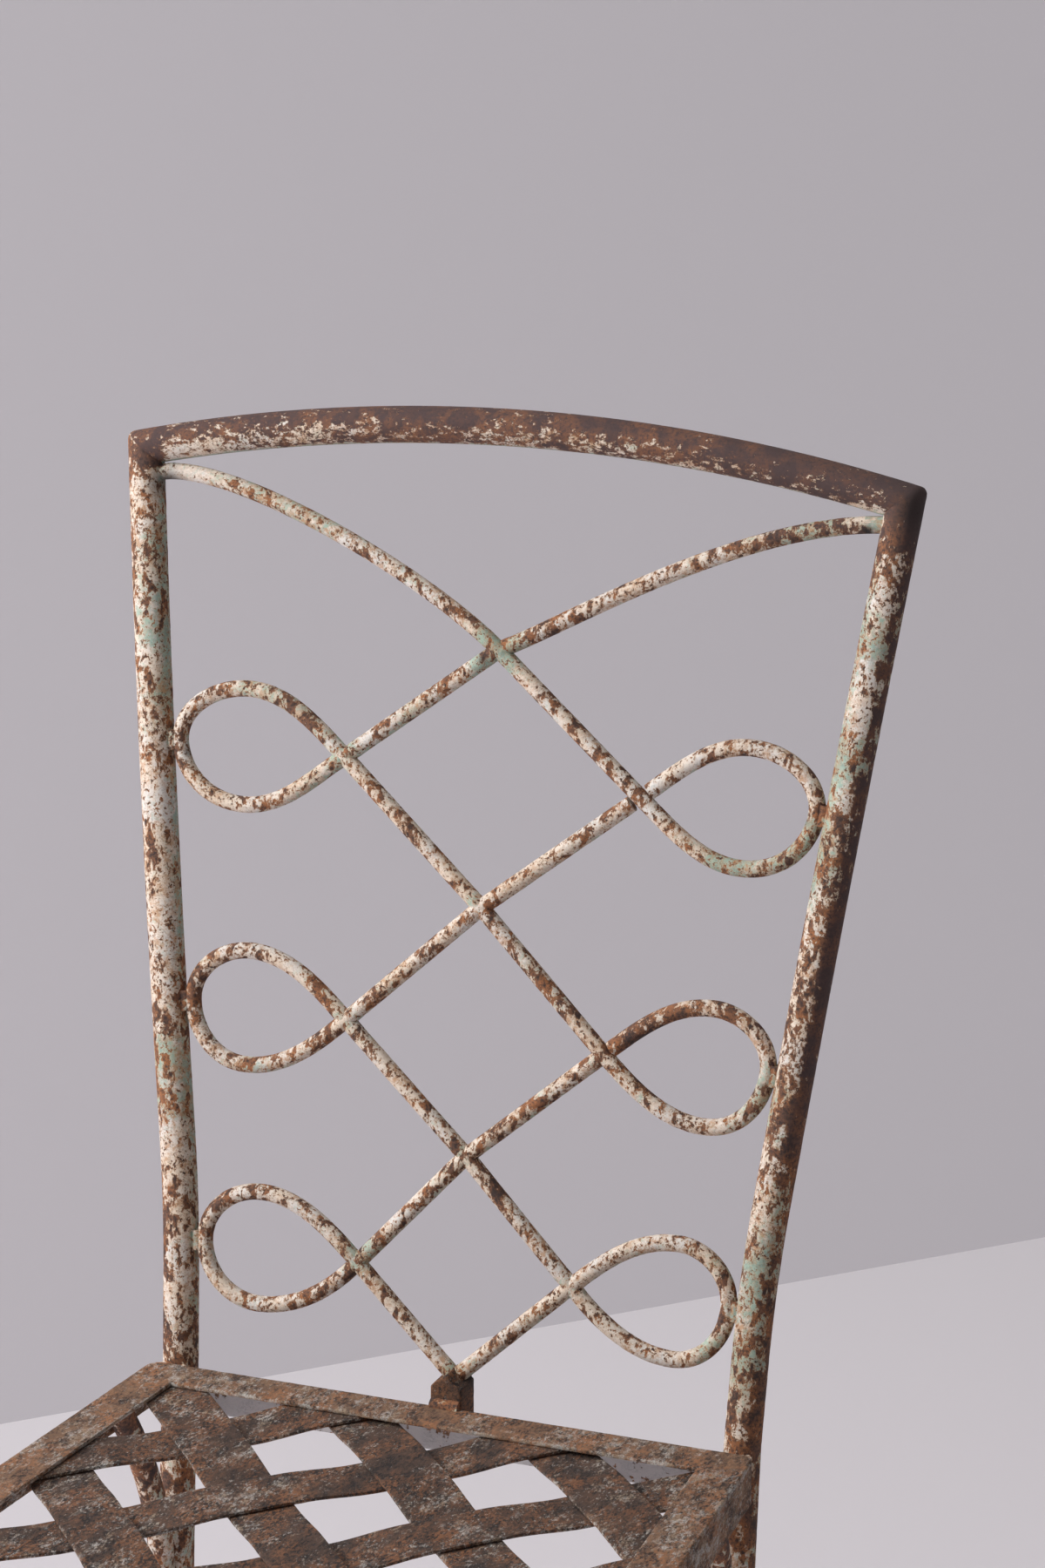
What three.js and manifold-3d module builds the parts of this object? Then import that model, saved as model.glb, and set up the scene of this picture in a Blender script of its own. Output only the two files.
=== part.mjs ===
// A welded steel garden chair: a tube back filled with scrolled rod, and a seat of woven flat straps.
// Millimetres, +Z up, the front of the seat towards -Y, feet on Z = 0.
// Shapes of the back are drawn flat, as x and h, where h is the height above the seat's top face,
// and are then laid on the raked and slightly bowed surface that holds the axes of tube and rod.
import * as THREE from "three";
import { mergeVertices } from "three/addons/utils/BufferGeometryUtils.js";
import Module from "manifold-3d";

const wasm = await Module();
wasm.setup();

// Stock sections
const TUBE = 22;
const ROD = 10;
const BRACE = 16;
const ANGLE_LEG = 28;
const ANGLE_WALL = 3;
const STRAP_WIDTH = 40;
const STRAP_THICK = 2.5;
// What is left between two pieces that touch
const GAP = 0.3;

// Seat frame
const SEAT_HEIGHT = 445;
const SEAT_DEPTH = 400;
const SEAT_REAR_WIDTH = 390;
const SEAT_FRONT_WIDTH = 438;
const SEAT_CORNER_RADIUS = 9;

// Straps run forward to the right or to the left, at this angle from straight ahead
const STRAP_ANGLE = THREE.MathUtils.degToRad(42.5);
const STRAP_PITCH = 94;
// How far a strap lies flat past the edge of one that it crosses
const STRAP_EASE = 2;
// How far the first strap of a family passes behind the middle of the seat's rear edge
const FIRST_STRAP = { right: 44.7, left: 33.5 };

// Back and rear legs
const CORNER_HEIGHT = 548;
const RAIL_RISE = 26;
const BACK_RAKE = 89;
const BACK_BOW = 7;
const UPRIGHT_INSET = 12.5;
const CORNER_SPACING = 480;
const WAIST_HEIGHT = 95;
const WAIST_BLEND = 45;
const SPLAY_BELOW_WAIST = 0.035;
const REAR_FOOT_SWEEP = 10;

// Scrolls: where they cross on the centre line, and where each loop closes on itself.
// They were bent by hand, so a loop on the left is not quite level with its partner on the right.
const CENTRE_CROSSINGS = [446, 295.5, 147.5];
const LOOP_CROSSINGS_LEFT = [
  { x: 94, h: 375.5 },
  { x: 82.5, h: 219.5 },
  { x: 67, h: 74 },
];
const LOOP_CROSSINGS_RIGHT = [
  { x: 95, h: 369 },
  { x: 83, h: 218 },
  { x: 71, h: 78.5 },
];
const LOOP_BELLY = 65;
const LOOP_RISE = 34.5;
// How straight a loop leaves its crossing and how flat its top and bottom are, as shares of the belly
const LOOP_STRAIGHTNESS = 0.42;
const LOOP_FLATNESS = 0.38;
// First spans, from the top corners down to the first centre crossing: how steeply each sets out and
// arrives, and how long it holds those headings
const FIRST_SPAN_LEFT = { start: -0.14, startPull: 50, arrival: 0.8, arrivalPull: 63 };
const FIRST_SPAN_RIGHT = { start: 0.06, startPull: 81, arrival: 0.46, arrivalPull: 48 };

// Block that carries the feet of both scrolls
const FOOT_APEX = 20;
const FOOT_WIDTH = 20;
const FOOT_BELOW_SEAT = 20;

// Braces from the legs to the side rails
const BRACE_REACH = 80;
const BRACE_DROP = 150;
const BRACE_KNEE = 80;
const BRACE_TOP_RUN = 24;
const BRACE_TOP_FALL = 38;

// Fineness of the facets
const TUBE_SIDES = 16;
const ROD_SIDES = 10;
const BRACE_SIDES = 12;
const TUBE_STEP = 34;
const ROD_STEP = 9;
const BRACE_STEP = 15;

const tubeRadius = TUBE / 2;
const rodRadius = ROD / 2;
const braceRadius = BRACE / 2;
const wide = 2000;
const roundness = 0.5523;

const rust = new THREE.MeshStandardMaterial({ color: 0x5d4334, roughness: 0.85, metalness: 0.25 });
const paint = new THREE.MeshStandardMaterial({ color: 0xc9bfae, roughness: 0.6, metalness: 0.05 });
const strapSteel = new THREE.MeshStandardMaterial({ color: 0x53433a, roughness: 0.9, metalness: 0.2 });

// Joins and cuts

function solidOf(geometry) {
  const bare = geometry.clone();
  bare.deleteAttribute("normal");
  bare.deleteAttribute("uv");
  const merged = mergeVertices(bare, 1e-4);
  const vertProperties = merged.attributes.position.array;
  const triVerts = new Uint32Array(merged.index.array);
  return new wasm.Manifold(new wasm.Mesh({ numProp: 3, vertProperties, triVerts }));
}

function geometryOf(solid) {
  const mesh = solid.getMesh();
  const geometry = new THREE.BufferGeometry();
  geometry.setAttribute("position", new THREE.BufferAttribute(mesh.vertProperties, 3));
  geometry.setIndex(new THREE.BufferAttribute(mesh.triVerts, 1));
  const faceted = geometry.toNonIndexed();
  faceted.computeVertexNormals();
  return faceted;
}

// All the space on the side of a plane that its normal points to
function beyond(point, normal) {
  const box = new THREE.BoxGeometry(wide, wide, wide).translate(0, 0, wide / 2);
  const turn = new THREE.Quaternion().setFromUnitVectors(new THREE.Vector3(0, 0, 1), normal);
  return solidOf(box.applyQuaternion(turn).translate(point.x, point.y, point.z));
}

const above = (z) => beyond(new THREE.Vector3(0, 0, z), new THREE.Vector3(0, 0, 1));
const below = (z) => beyond(new THREE.Vector3(0, 0, z), new THREE.Vector3(0, 0, -1));

function prism(shape, bottom, top) {
  const options = { depth: top - bottom, bevelEnabled: false, curveSegments: 4 };
  return solidOf(new THREE.ExtrudeGeometry(shape, options).translate(0, 0, bottom));
}

function roundBar(curve, radius, sides, step) {
  const section = new THREE.Shape().absarc(0, 0, radius, 0, 2 * Math.PI);
  const steps = Math.max(1, Math.ceil(curve.getLength() / step));
  const options = { steps, curveSegments: sides / 2, bevelEnabled: false, extrudePath: curve };
  return new THREE.ExtrudeGeometry(section, options);
}

// Surface of the back: it leans straight at the seat, bows forward above, and sweeps the legs back below

const lean = (BACK_RAKE - 4 * BACK_BOW) / CORNER_HEIGHT;
const backFoot = tubeRadius * Math.hypot(1, lean) + GAP + lean * ANGLE_LEG;
const legSweep = (REAR_FOOT_SWEEP - backFoot + lean * SEAT_HEIGHT) / SEAT_HEIGHT ** 2;

function backDepth(h) {
  if (h < 0) return backFoot + lean * h + legSweep * h * h;
  const share = h / CORNER_HEIGHT;
  return backFoot + BACK_RAKE * share - 4 * BACK_BOW * share * (1 - share);
}

function onBack(x, h) {
  return new THREE.Vector3(x, backDepth(h), SEAT_HEIGHT + h);
}

class BackCurve extends THREE.Curve {
  constructor(flat) {
    super();
    this.flat = flat;
    this.arcLengthDivisions = 600;
  }

  getPoint(t) {
    const { x, y } = this.flat.getPoint(t);
    return onBack(x, y);
  }
}

// Uprights, which run on as the rear legs, and the arched rail mitred onto them

// Zero before a bend and one to one after it, with a smooth run between
function bend(distance) {
  if (distance <= -WAIST_BLEND) return 0;
  return distance >= WAIST_BLEND ? distance : (distance + WAIST_BLEND) ** 2 / (4 * WAIST_BLEND);
}

const axisAtSeat = SEAT_REAR_WIDTH / 2 - UPRIGHT_INSET;
const spreadAboveSeat = CORNER_SPACING / 2 - axisAtSeat;
const splayAtWaist = (spreadAboveSeat - SPLAY_BELOW_WAIST * CORNER_HEIGHT) / (CORNER_HEIGHT - WAIST_HEIGHT);

function uprightAxis(h) {
  return axisAtSeat + SPLAY_BELOW_WAIST * Math.max(h, 0) + splayAtWaist * bend(h - WAIST_HEIGHT);
}

class UprightCurve extends THREE.Curve {
  constructor(side) {
    super();
    this.side = side;
  }

  getPoint(t) {
    const h = THREE.MathUtils.lerp(-SEAT_HEIGHT - TUBE, CORNER_HEIGHT + TUBE, t);
    return onBack(this.side * uprightAxis(h), h);
  }
}

const railRadius = ((CORNER_SPACING / 2) ** 2 + RAIL_RISE ** 2) / (2 * RAIL_RISE);
const railCentre = CORNER_HEIGHT + RAIL_RISE - railRadius;
const railAxis = (x) => railCentre + Math.sqrt(railRadius ** 2 - x ** 2);

function railArc() {
  const reach = Math.asin((CORNER_SPACING / 2 + TUBE) / railRadius);
  return new THREE.Path().absarc(0, railCentre, railRadius, Math.PI / 2 - reach, Math.PI / 2 + reach);
}

// The plane of the mitre at a top corner. Its normal points up, away from the upright.
function mitre(side) {
  const inner = CORNER_SPACING / 2 - TUBE;
  const corner = onBack((side * CORNER_SPACING) / 2, CORNER_HEIGHT);
  const onUpright = onBack(side * uprightAxis(CORNER_HEIGHT - TUBE), CORNER_HEIGHT - TUBE);
  const onRail = onBack(side * inner, railAxis(inner));
  const up = corner.clone().sub(onUpright).normalize();
  const out = corner.clone().sub(onRail).normalize();
  return { corner, normal: up.sub(out).normalize() };
}

function upright(side) {
  const { corner, normal } = mitre(side);
  const cut = corner.addScaledVector(normal, -GAP / 2);
  const bar = solidOf(roundBar(new UprightCurve(side), tubeRadius, TUBE_SIDES, TUBE_STEP));
  return geometryOf(bar.subtract(beyond(cut, normal)).subtract(below(0)));
}

function topRail() {
  let bar = solidOf(roundBar(new BackCurve(railArc()), tubeRadius, TUBE_SIDES, TUBE_STEP));
  for (const side of [-1, 1]) {
    const { corner, normal } = mitre(side);
    const cut = corner.addScaledVector(normal, GAP / 2);
    bar = bar.subtract(beyond(cut, normal.negate()));
  }
  return geometryOf(bar);
}

// Scrolls. At each crossing one rod runs through and the other is cut and butts against it.

const point = (x, h) => new THREE.Vector2(x, h);
const heading = (from, to) => to.clone().sub(from).normalize();
const centre = (row) => point(0, CENTRE_CROSSINGS[row]);

function knot(side, row) {
  const { x, h } = (side < 0 ? LOOP_CROSSINGS_LEFT : LOOP_CROSSINGS_RIGHT)[row];
  return point(side * x, h);
}

// A point past a crossing, as far along a heading as a square-cut rod must stop from a bar there
function butt(crossing, along, barHeading, barRadius = rodRadius) {
  const cosine = Math.abs(along.dot(barHeading));
  const reach = (barRadius + GAP + rodRadius * cosine) / Math.sqrt(1 - cosine ** 2);
  return crossing.clone().addScaledVector(along, reach);
}

// The block's bevels lie square to the rods, which pass either side of its apex
const footApex = point(0, FOOT_APEX);

function footAngle(side) {
  const run = knot(side, 2).sub(footApex);
  return Math.atan2(run.y, Math.abs(run.x)) + Math.asin((rodRadius + GAP) / run.length());
}

const bevel = (side) => point(side * Math.sin(footAngle(side)), -Math.cos(footAngle(side)));

function footEnd(side) {
  const lift = GAP + rodRadius * lean;
  const upRod = point(side * Math.cos(footAngle(side)), Math.sin(footAngle(side)));
  return footApex.clone().addScaledVector(bevel(side), rodRadius + GAP).addScaledVector(upRod, lift);
}

// Headings of the two strands at a loop's crossing, both pointing outwards
const fromAbove = (side, row) => heading(centre(row), knot(side, row));
const fromUnder = (side, row) => heading(row < 2 ? centre(row + 1) : footEnd(side), knot(side, row));

// Straight rod between two crossings, butted at both ends
function linkRod(from, fromBar, to, toBar) {
  const along = heading(from, to);
  return [butt(from, along, fromBar), butt(to, along.clone().negate(), toBar)];
}

function pathThrough(points) {
  const path = new THREE.Path();
  path.moveTo(points[0].x, points[0].y);
  points.slice(1).forEach((p) => path.lineTo(p.x, p.y));
  return path;
}

function curveTo(path, leave, arrive, end) {
  path.bezierCurveTo(leave.x, leave.y, arrive.x, arrive.y, end.x, end.y);
}

// A loop runs from its crossing out along the bottom, up beside the upright and back along the top
function loopRod(side, row, { before = [], lead, after = [] }) {
  const cross = knot(side, row);
  const out = fromAbove(side, row);
  const back = fromUnder(side, row);
  const first = before.length || lead ? cross : butt(cross, out, back);
  const last = after.length ? cross : butt(cross, back, out);
  const path = lead ?? pathThrough([...before, first]);
  if (lead) path.lineTo(first.x, first.y);

  const axisRise = point(side * (uprightAxis(cross.y + 1) - uprightAxis(cross.y)), 1).normalize();
  const clearance = (tubeRadius + rodRadius + GAP) / axisRise.y;
  const tip = point(side * (uprightAxis(cross.y) - clearance), cross.y);
  const belly = cross.x + side * LOOP_BELLY;
  const bottom = point(belly, cross.y - LOOP_RISE);
  const top = point(belly, cross.y + LOOP_RISE);
  const handle = LOOP_BELLY * LOOP_STRAIGHTNESS;
  const across = point(side * (Math.abs(tip.x - belly) * roundness), 0);
  const along = axisRise.multiplyScalar(LOOP_RISE * roundness);
  const flat = point(side * LOOP_BELLY * LOOP_FLATNESS, 0);

  curveTo(path, cross.clone().addScaledVector(out, handle), bottom.clone().sub(flat), bottom);
  curveTo(path, bottom.clone().add(across), tip.clone().sub(along), tip);
  curveTo(path, tip.clone().add(along), top.clone().add(across), top);
  curveTo(path, top.clone().sub(flat), cross.clone().addScaledVector(back, handle), last);
  after.forEach((p) => path.lineTo(p.x, p.y));
  return path;
}

// The first span of a scroll, from under the rail at a top corner down to the first centre crossing
function firstSpan(side, end) {
  const span = side < 0 ? FIRST_SPAN_LEFT : FIRST_SPAN_RIGHT;
  const slope = point(-side, -span.start).normalize();
  const arrive = point(-side, -span.arrival).normalize();
  const axis = uprightAxis(CORNER_HEIGHT - TUBE);
  const axisHeading = heading(point(side * axis, 0), point(side * uprightAxis(CORNER_HEIGHT), TUBE));
  const inner = axis - tubeRadius;
  const railFall = railAxis(inner - 1) - railAxis(inner);
  const underRail = railAxis(inner) - (tubeRadius + rodRadius + GAP) * Math.hypot(1, railFall);
  const onAxis = point(side * axis, underRail + span.start * tubeRadius);
  const start = butt(onAxis, slope, axisHeading, tubeRadius);
  const path = pathThrough([start]);
  const leave = start.clone().addScaledVector(slope, span.startPull);
  curveTo(path, leave, centre(0).addScaledVector(arrive, -span.arrivalPull), end);
  return path;
}

function scrollPaths() {
  const acrossTop = fromAbove(1, 0);
  const acrossMiddle = heading(knot(1, 0), knot(-1, 1));
  const acrossLow = heading(knot(1, 1), knot(-1, 2));
  const spanArrival = point(1, FIRST_SPAN_RIGHT.arrival).normalize();
  const start = (from, bar, to) => butt(from, heading(from, to), bar);
  const straight = (...args) => pathThrough(linkRod(...args));
  return {
    scroll_loop_upper_right: loopRod(1, 0, { lead: firstSpan(-1, centre(0)) }),
    scroll_first_span_right: firstSpan(1, butt(centre(0), spanArrival, acrossTop)),
    scroll_link_upper_left: straight(centre(0), acrossTop, knot(-1, 0), fromUnder(-1, 0)),
    scroll_loop_upper_left: loopRod(-1, 0, { after: [start(centre(1), acrossMiddle, knot(-1, 0))] }),
    scroll_loop_middle_left: loopRod(-1, 1, {
      before: [start(knot(1, 0), fromAbove(1, 0), centre(1)), centre(1)],
    }),
    scroll_loop_middle_right: loopRod(1, 1, { before: [start(centre(1), acrossMiddle, knot(1, 1))] }),
    scroll_link_middle_left: straight(knot(-1, 1), fromAbove(-1, 1), centre(2), acrossLow),
    scroll_link_centre: pathThrough([
      start(knot(1, 1), fromAbove(1, 1), centre(2)),
      centre(2),
      start(knot(-1, 2), fromUnder(-1, 2), centre(2)),
    ]),
    scroll_link_lower_right: straight(centre(2), acrossLow, knot(1, 2), fromUnder(1, 2)),
    scroll_loop_lower_right: loopRod(1, 2, { after: [footEnd(1)] }),
    scroll_loop_lower_left: loopRod(-1, 2, { after: [footEnd(-1)] }),
  };
}

function footBlock() {
  const right = footApex.clone().addScaledVector(bevel(1), ROD + GAP);
  const left = footApex.clone().addScaledVector(bevel(-1), ROD + GAP);
  const shape = new THREE.Shape([
    point(-FOOT_WIDTH / 2, -FOOT_BELOW_SEAT),
    point(FOOT_WIDTH / 2, -FOOT_BELOW_SEAT),
    point(FOOT_WIDTH / 2, right.y),
    right,
    footApex,
    left,
    point(-FOOT_WIDTH / 2, left.y),
  ]);
  const depth = backDepth(FOOT_APEX) + rodRadius;
  const block = new THREE.ExtrudeGeometry(shape, { depth, bevelEnabled: false });
  return block.rotateX(Math.PI / 2).translate(0, GAP + depth, SEAT_HEIGHT);
}

// Seat frame: four mitred lengths of angle, one leg flat on top and one leg down the outside

const taper = (SEAT_FRONT_WIDTH - SEAT_REAR_WIDTH) / 2 / SEAT_DEPTH;
const outerSide = (y) => SEAT_REAR_WIDTH / 2 - taper * y;
const insetSide = (y, inset) => outerSide(y) - inset * Math.hypot(1, taper);

function seatCorners(inset) {
  const rear = -inset;
  const front = inset - SEAT_DEPTH;
  return [
    point(-insetSide(rear, inset), rear),
    point(-insetSide(front, inset), front),
    point(insetSide(front, inset), front),
    point(insetSide(rear, inset), rear),
  ];
}

function roundedSeat() {
  const corners = seatCorners(0);
  const shape = new THREE.Shape();
  corners.forEach((corner, i) => {
    const setBack = (to) => corner.clone().addScaledVector(heading(corner, to), SEAT_CORNER_RADIUS);
    const before = setBack(corners[(i + 3) % 4]);
    const after = setBack(corners[(i + 1) % 4]);
    if (i === 0) shape.moveTo(before.x, before.y);
    else shape.lineTo(before.x, before.y);
    shape.quadraticCurveTo(corner.x, corner.y, after.x, after.y);
  });
  return shape;
}

// One side of the frame from its outer face to a depth inside it, mitred at both ends
function mitredStrip(index, depth) {
  const next = (index + 1) % 4;
  const outer = seatCorners(0);
  const inner = seatCorners(depth);
  const slit = heading(outer[index], outer[next]).multiplyScalar(GAP / Math.SQRT2);
  return new THREE.Shape([
    outer[index].clone().add(slit),
    outer[next].clone().sub(slit),
    inner[next].clone().sub(slit),
    inner[index].clone().add(slit),
  ]);
}

function seatRail(index) {
  const bottom = SEAT_HEIGHT - ANGLE_LEG;
  const topLeg = prism(mitredStrip(index, ANGLE_LEG), SEAT_HEIGHT - ANGLE_WALL, SEAT_HEIGHT);
  const sideLeg = prism(mitredStrip(index, ANGLE_WALL), bottom, SEAT_HEIGHT);
  return geometryOf(topLeg.add(sideLeg).intersect(prism(roundedSeat(), bottom, SEAT_HEIGHT)));
}

// Front legs, which stand inside the frame's front corners

const frontLegTop = SEAT_HEIGHT - ANGLE_WALL - GAP;

function frontLegFoot(side) {
  const corners = seatCorners(ANGLE_WALL + GAP + tubeRadius);
  const corner = side < 0 ? corners[1] : corners[2];
  return new THREE.Vector3(corner.x, corner.y, 0);
}

function frontLeg(side, radius = tubeRadius) {
  const foot = frontLegFoot(side);
  const leg = new THREE.CylinderGeometry(radius, radius, frontLegTop, TUBE_SIDES);
  return leg.rotateX(Math.PI / 2).translate(foot.x, foot.y, frontLegTop / 2);
}

// Woven straps. A strap lies flat where it crosses another, and slopes over or under the next.

const weaveTop = SEAT_HEIGHT - ANGLE_WALL - GAP;
const weaveBottom = weaveTop - 2 * STRAP_THICK - GAP;
const doubled = 2 * STRAP_ANGLE;
const flatReach = ((STRAP_WIDTH / 2) * (1 + Math.cos(doubled))) / Math.sin(doubled) + STRAP_EASE;

// Distance of strap number i from the middle of the rear edge, square to the strap, rearwards
function strapOffset(family, i) {
  return (family > 0 ? FIRST_STRAP.right : FIRST_STRAP.left) - STRAP_PITCH * i;
}

// Straps of a family that show inside the frame, the last of them across a front corner
function strapCount(family) {
  const corner = seatCorners(ANGLE_LEG)[2];
  const reach = corner.x * Math.cos(STRAP_ANGLE) - corner.y * Math.sin(STRAP_ANGLE);
  return 1 + Math.floor((strapOffset(family, 0) + STRAP_WIDTH / 2 + reach) / STRAP_PITCH);
}

function strapProfile(family, i) {
  const top = [];
  const crossed = strapCount(-family);
  for (let j = 0; j < crossed; j++) {
    const other = strapOffset(-family, j);
    const along = -(other + strapOffset(family, i) * Math.cos(doubled)) / Math.sin(doubled);
    const isOver = (i + j) % 2 === 0 ? family > 0 : family < 0;
    const level = isOver ? weaveTop : weaveBottom + STRAP_THICK;
    const before = j === 0 ? wide / 2 : flatReach;
    const after = j === crossed - 1 ? wide / 2 : flatReach;
    top.push(point(along - before, level), point(along + after, level));
  }
  const under = top.map((p) => point(p.x, p.y - STRAP_THICK)).reverse();
  return new THREE.Shape([...top, ...under]);
}

function strap(family, i) {
  const along = new THREE.Vector3(family * Math.sin(STRAP_ANGLE), -Math.cos(STRAP_ANGLE), 0);
  const rearward = new THREE.Vector3(family * Math.cos(STRAP_ANGLE), Math.sin(STRAP_ANGLE), 0);
  const up = new THREE.Vector3(0, 0, 1);
  const options = { depth: STRAP_WIDTH, bevelEnabled: false };
  const band = new THREE.ExtrudeGeometry(strapProfile(family, i), options);
  band.translate(0, 0, -STRAP_WIDTH / 2);
  band.applyMatrix4(new THREE.Matrix4().makeBasis(along, up, along.clone().cross(up)));
  rearward.multiplyScalar(strapOffset(family, i));
  band.translate(rearward.x, rearward.y, 0);
  const inside = new THREE.Shape(seatCorners(ANGLE_WALL + GAP));
  let trimmed = solidOf(band).intersect(prism(inside, 0, SEAT_HEIGHT));
  for (const side of [-1, 1]) trimmed = trimmed.subtract(solidOf(frontLeg(side, tubeRadius + GAP)));
  // A strap ends at a leg, so any offcut beyond it falls away
  const [strip] = trimmed.decompose().sort((one, other) => other.volume() - one.volume());
  return geometryOf(strip);
}

// A brace leaves the leg alongside it and curves up beside the wall of the side rail

function brace(side, legAxis, towards) {
  const beside = tubeRadius + braceRadius + GAP;
  const alongLeg = (h) => legAxis(h).add(new THREE.Vector3(0, towards * beside, 0));
  const besideWall = (y, h) => {
    const x = insetSide(y, ANGLE_WALL + GAP + braceRadius);
    return new THREE.Vector3(side * x, y, SEAT_HEIGHT + h);
  };
  const topY = legAxis(0).y + towards * BRACE_REACH;
  const curve = new THREE.CubicBezierCurve3(
    besideWall(topY, 0),
    besideWall(topY - towards * BRACE_TOP_RUN, -BRACE_TOP_FALL),
    alongLeg(-BRACE_KNEE),
    alongLeg(-BRACE_DROP),
  );
  const bar = solidOf(roundBar(curve, braceRadius, BRACE_SIDES, BRACE_STEP));
  return geometryOf(bar.subtract(above(weaveBottom - GAP)));
}

const rearLegAxis = (side) => (h) => onBack(side * uprightAxis(h), h);
const frontLegAxis = (side) => (h) => frontLegFoot(side).setZ(SEAT_HEIGHT + h);

// Assembly

const chair = new THREE.Group();

function place(name, geometry, material) {
  const mesh = new THREE.Mesh(geometry, material);
  mesh.name = name;
  chair.add(mesh);
}

place("top_rail", topRail(), rust);
for (const [name, side] of [["left", -1], ["right", 1]]) {
  place(`upright_${name}`, upright(side), paint);
  place(`front_leg_${name}`, frontLeg(side), paint);
  place(`brace_rear_${name}`, brace(side, rearLegAxis(side), -1), paint);
  place(`brace_front_${name}`, brace(side, frontLegAxis(side), 1), paint);
}
for (const [name, path] of Object.entries(scrollPaths())) {
  place(name, roundBar(new BackCurve(path), rodRadius, ROD_SIDES, ROD_STEP), paint);
}
place("scroll_foot", footBlock(), rust);
["left", "front", "right", "rear"].forEach((name, i) => place(`seat_rail_${name}`, seatRail(i), rust));
for (const [name, family] of [["right", 1], ["left", -1]]) {
  for (let i = 0; i < strapCount(family); i++) {
    place(`strap_to_${name}_${i + 1}`, strap(family, i), strapSteel);
  }
}

// The part's origin is on the floor under the middle of its bounding box
const box = new THREE.Box3().setFromObject(chair);
const middle = box.getCenter(new THREE.Vector3());
chair.position.set(-middle.x, -middle.y, 0);
const part = new THREE.Group();
part.add(chair);

export default part;
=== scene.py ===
"""An old welded garden chair: a scrolled back, a woven strap seat, chipped cream paint and rust."""

from contextlib import contextmanager

import bmesh
import bpy
import numpy as np
from bpy.props import FloatProperty, FloatVectorProperty, IntProperty, PointerProperty
from mathutils import Matrix, Vector


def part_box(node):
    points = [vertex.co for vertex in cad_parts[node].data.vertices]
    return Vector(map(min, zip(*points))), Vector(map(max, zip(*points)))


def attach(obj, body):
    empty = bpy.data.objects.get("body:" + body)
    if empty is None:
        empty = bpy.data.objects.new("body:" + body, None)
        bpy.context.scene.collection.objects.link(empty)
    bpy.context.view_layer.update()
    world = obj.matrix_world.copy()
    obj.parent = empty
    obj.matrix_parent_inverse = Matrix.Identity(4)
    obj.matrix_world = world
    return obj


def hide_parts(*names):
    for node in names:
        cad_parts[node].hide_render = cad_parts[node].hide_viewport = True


bl_info = {
    "name": "Scrolled Garden Chair",
    "version": (1, 0, 0),
    "blender": (4, 5, 0),
    "location": "3D View > Sidebar > Chair",
    "description": "An old welded garden chair with a scrolled back and a woven strap seat",
    "category": "Add Mesh",
}

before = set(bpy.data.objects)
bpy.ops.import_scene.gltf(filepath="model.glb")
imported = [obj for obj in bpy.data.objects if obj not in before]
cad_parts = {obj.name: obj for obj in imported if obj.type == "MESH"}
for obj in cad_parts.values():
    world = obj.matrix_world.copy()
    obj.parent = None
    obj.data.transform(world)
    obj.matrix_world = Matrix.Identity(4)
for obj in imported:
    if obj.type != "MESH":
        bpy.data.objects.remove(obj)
rear_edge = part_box("seat_rail_rear")[1]

MM = 0.001
SIDES = {"left": -1, "right": 1}


# Sizes and colours


def length(name, description, millimetres):
    return FloatProperty(
        name=name,
        description=description,
        default=millimetres * MM,
        unit="LENGTH",
        subtype="DISTANCE",
    )


def colour(name, description, red, green, blue):
    """A colour given as it looks on screen, 0 to 255."""
    screen = np.array([red, green, blue]) / 255
    linear = np.where(screen <= 0.04045, screen / 12.92, ((screen + 0.055) / 1.055) ** 2.4)
    return FloatVectorProperty(
        name=name,
        description=description,
        default=tuple(linear),
        subtype="COLOR",
        size=3,
        min=0,
        max=1,
    )


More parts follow.
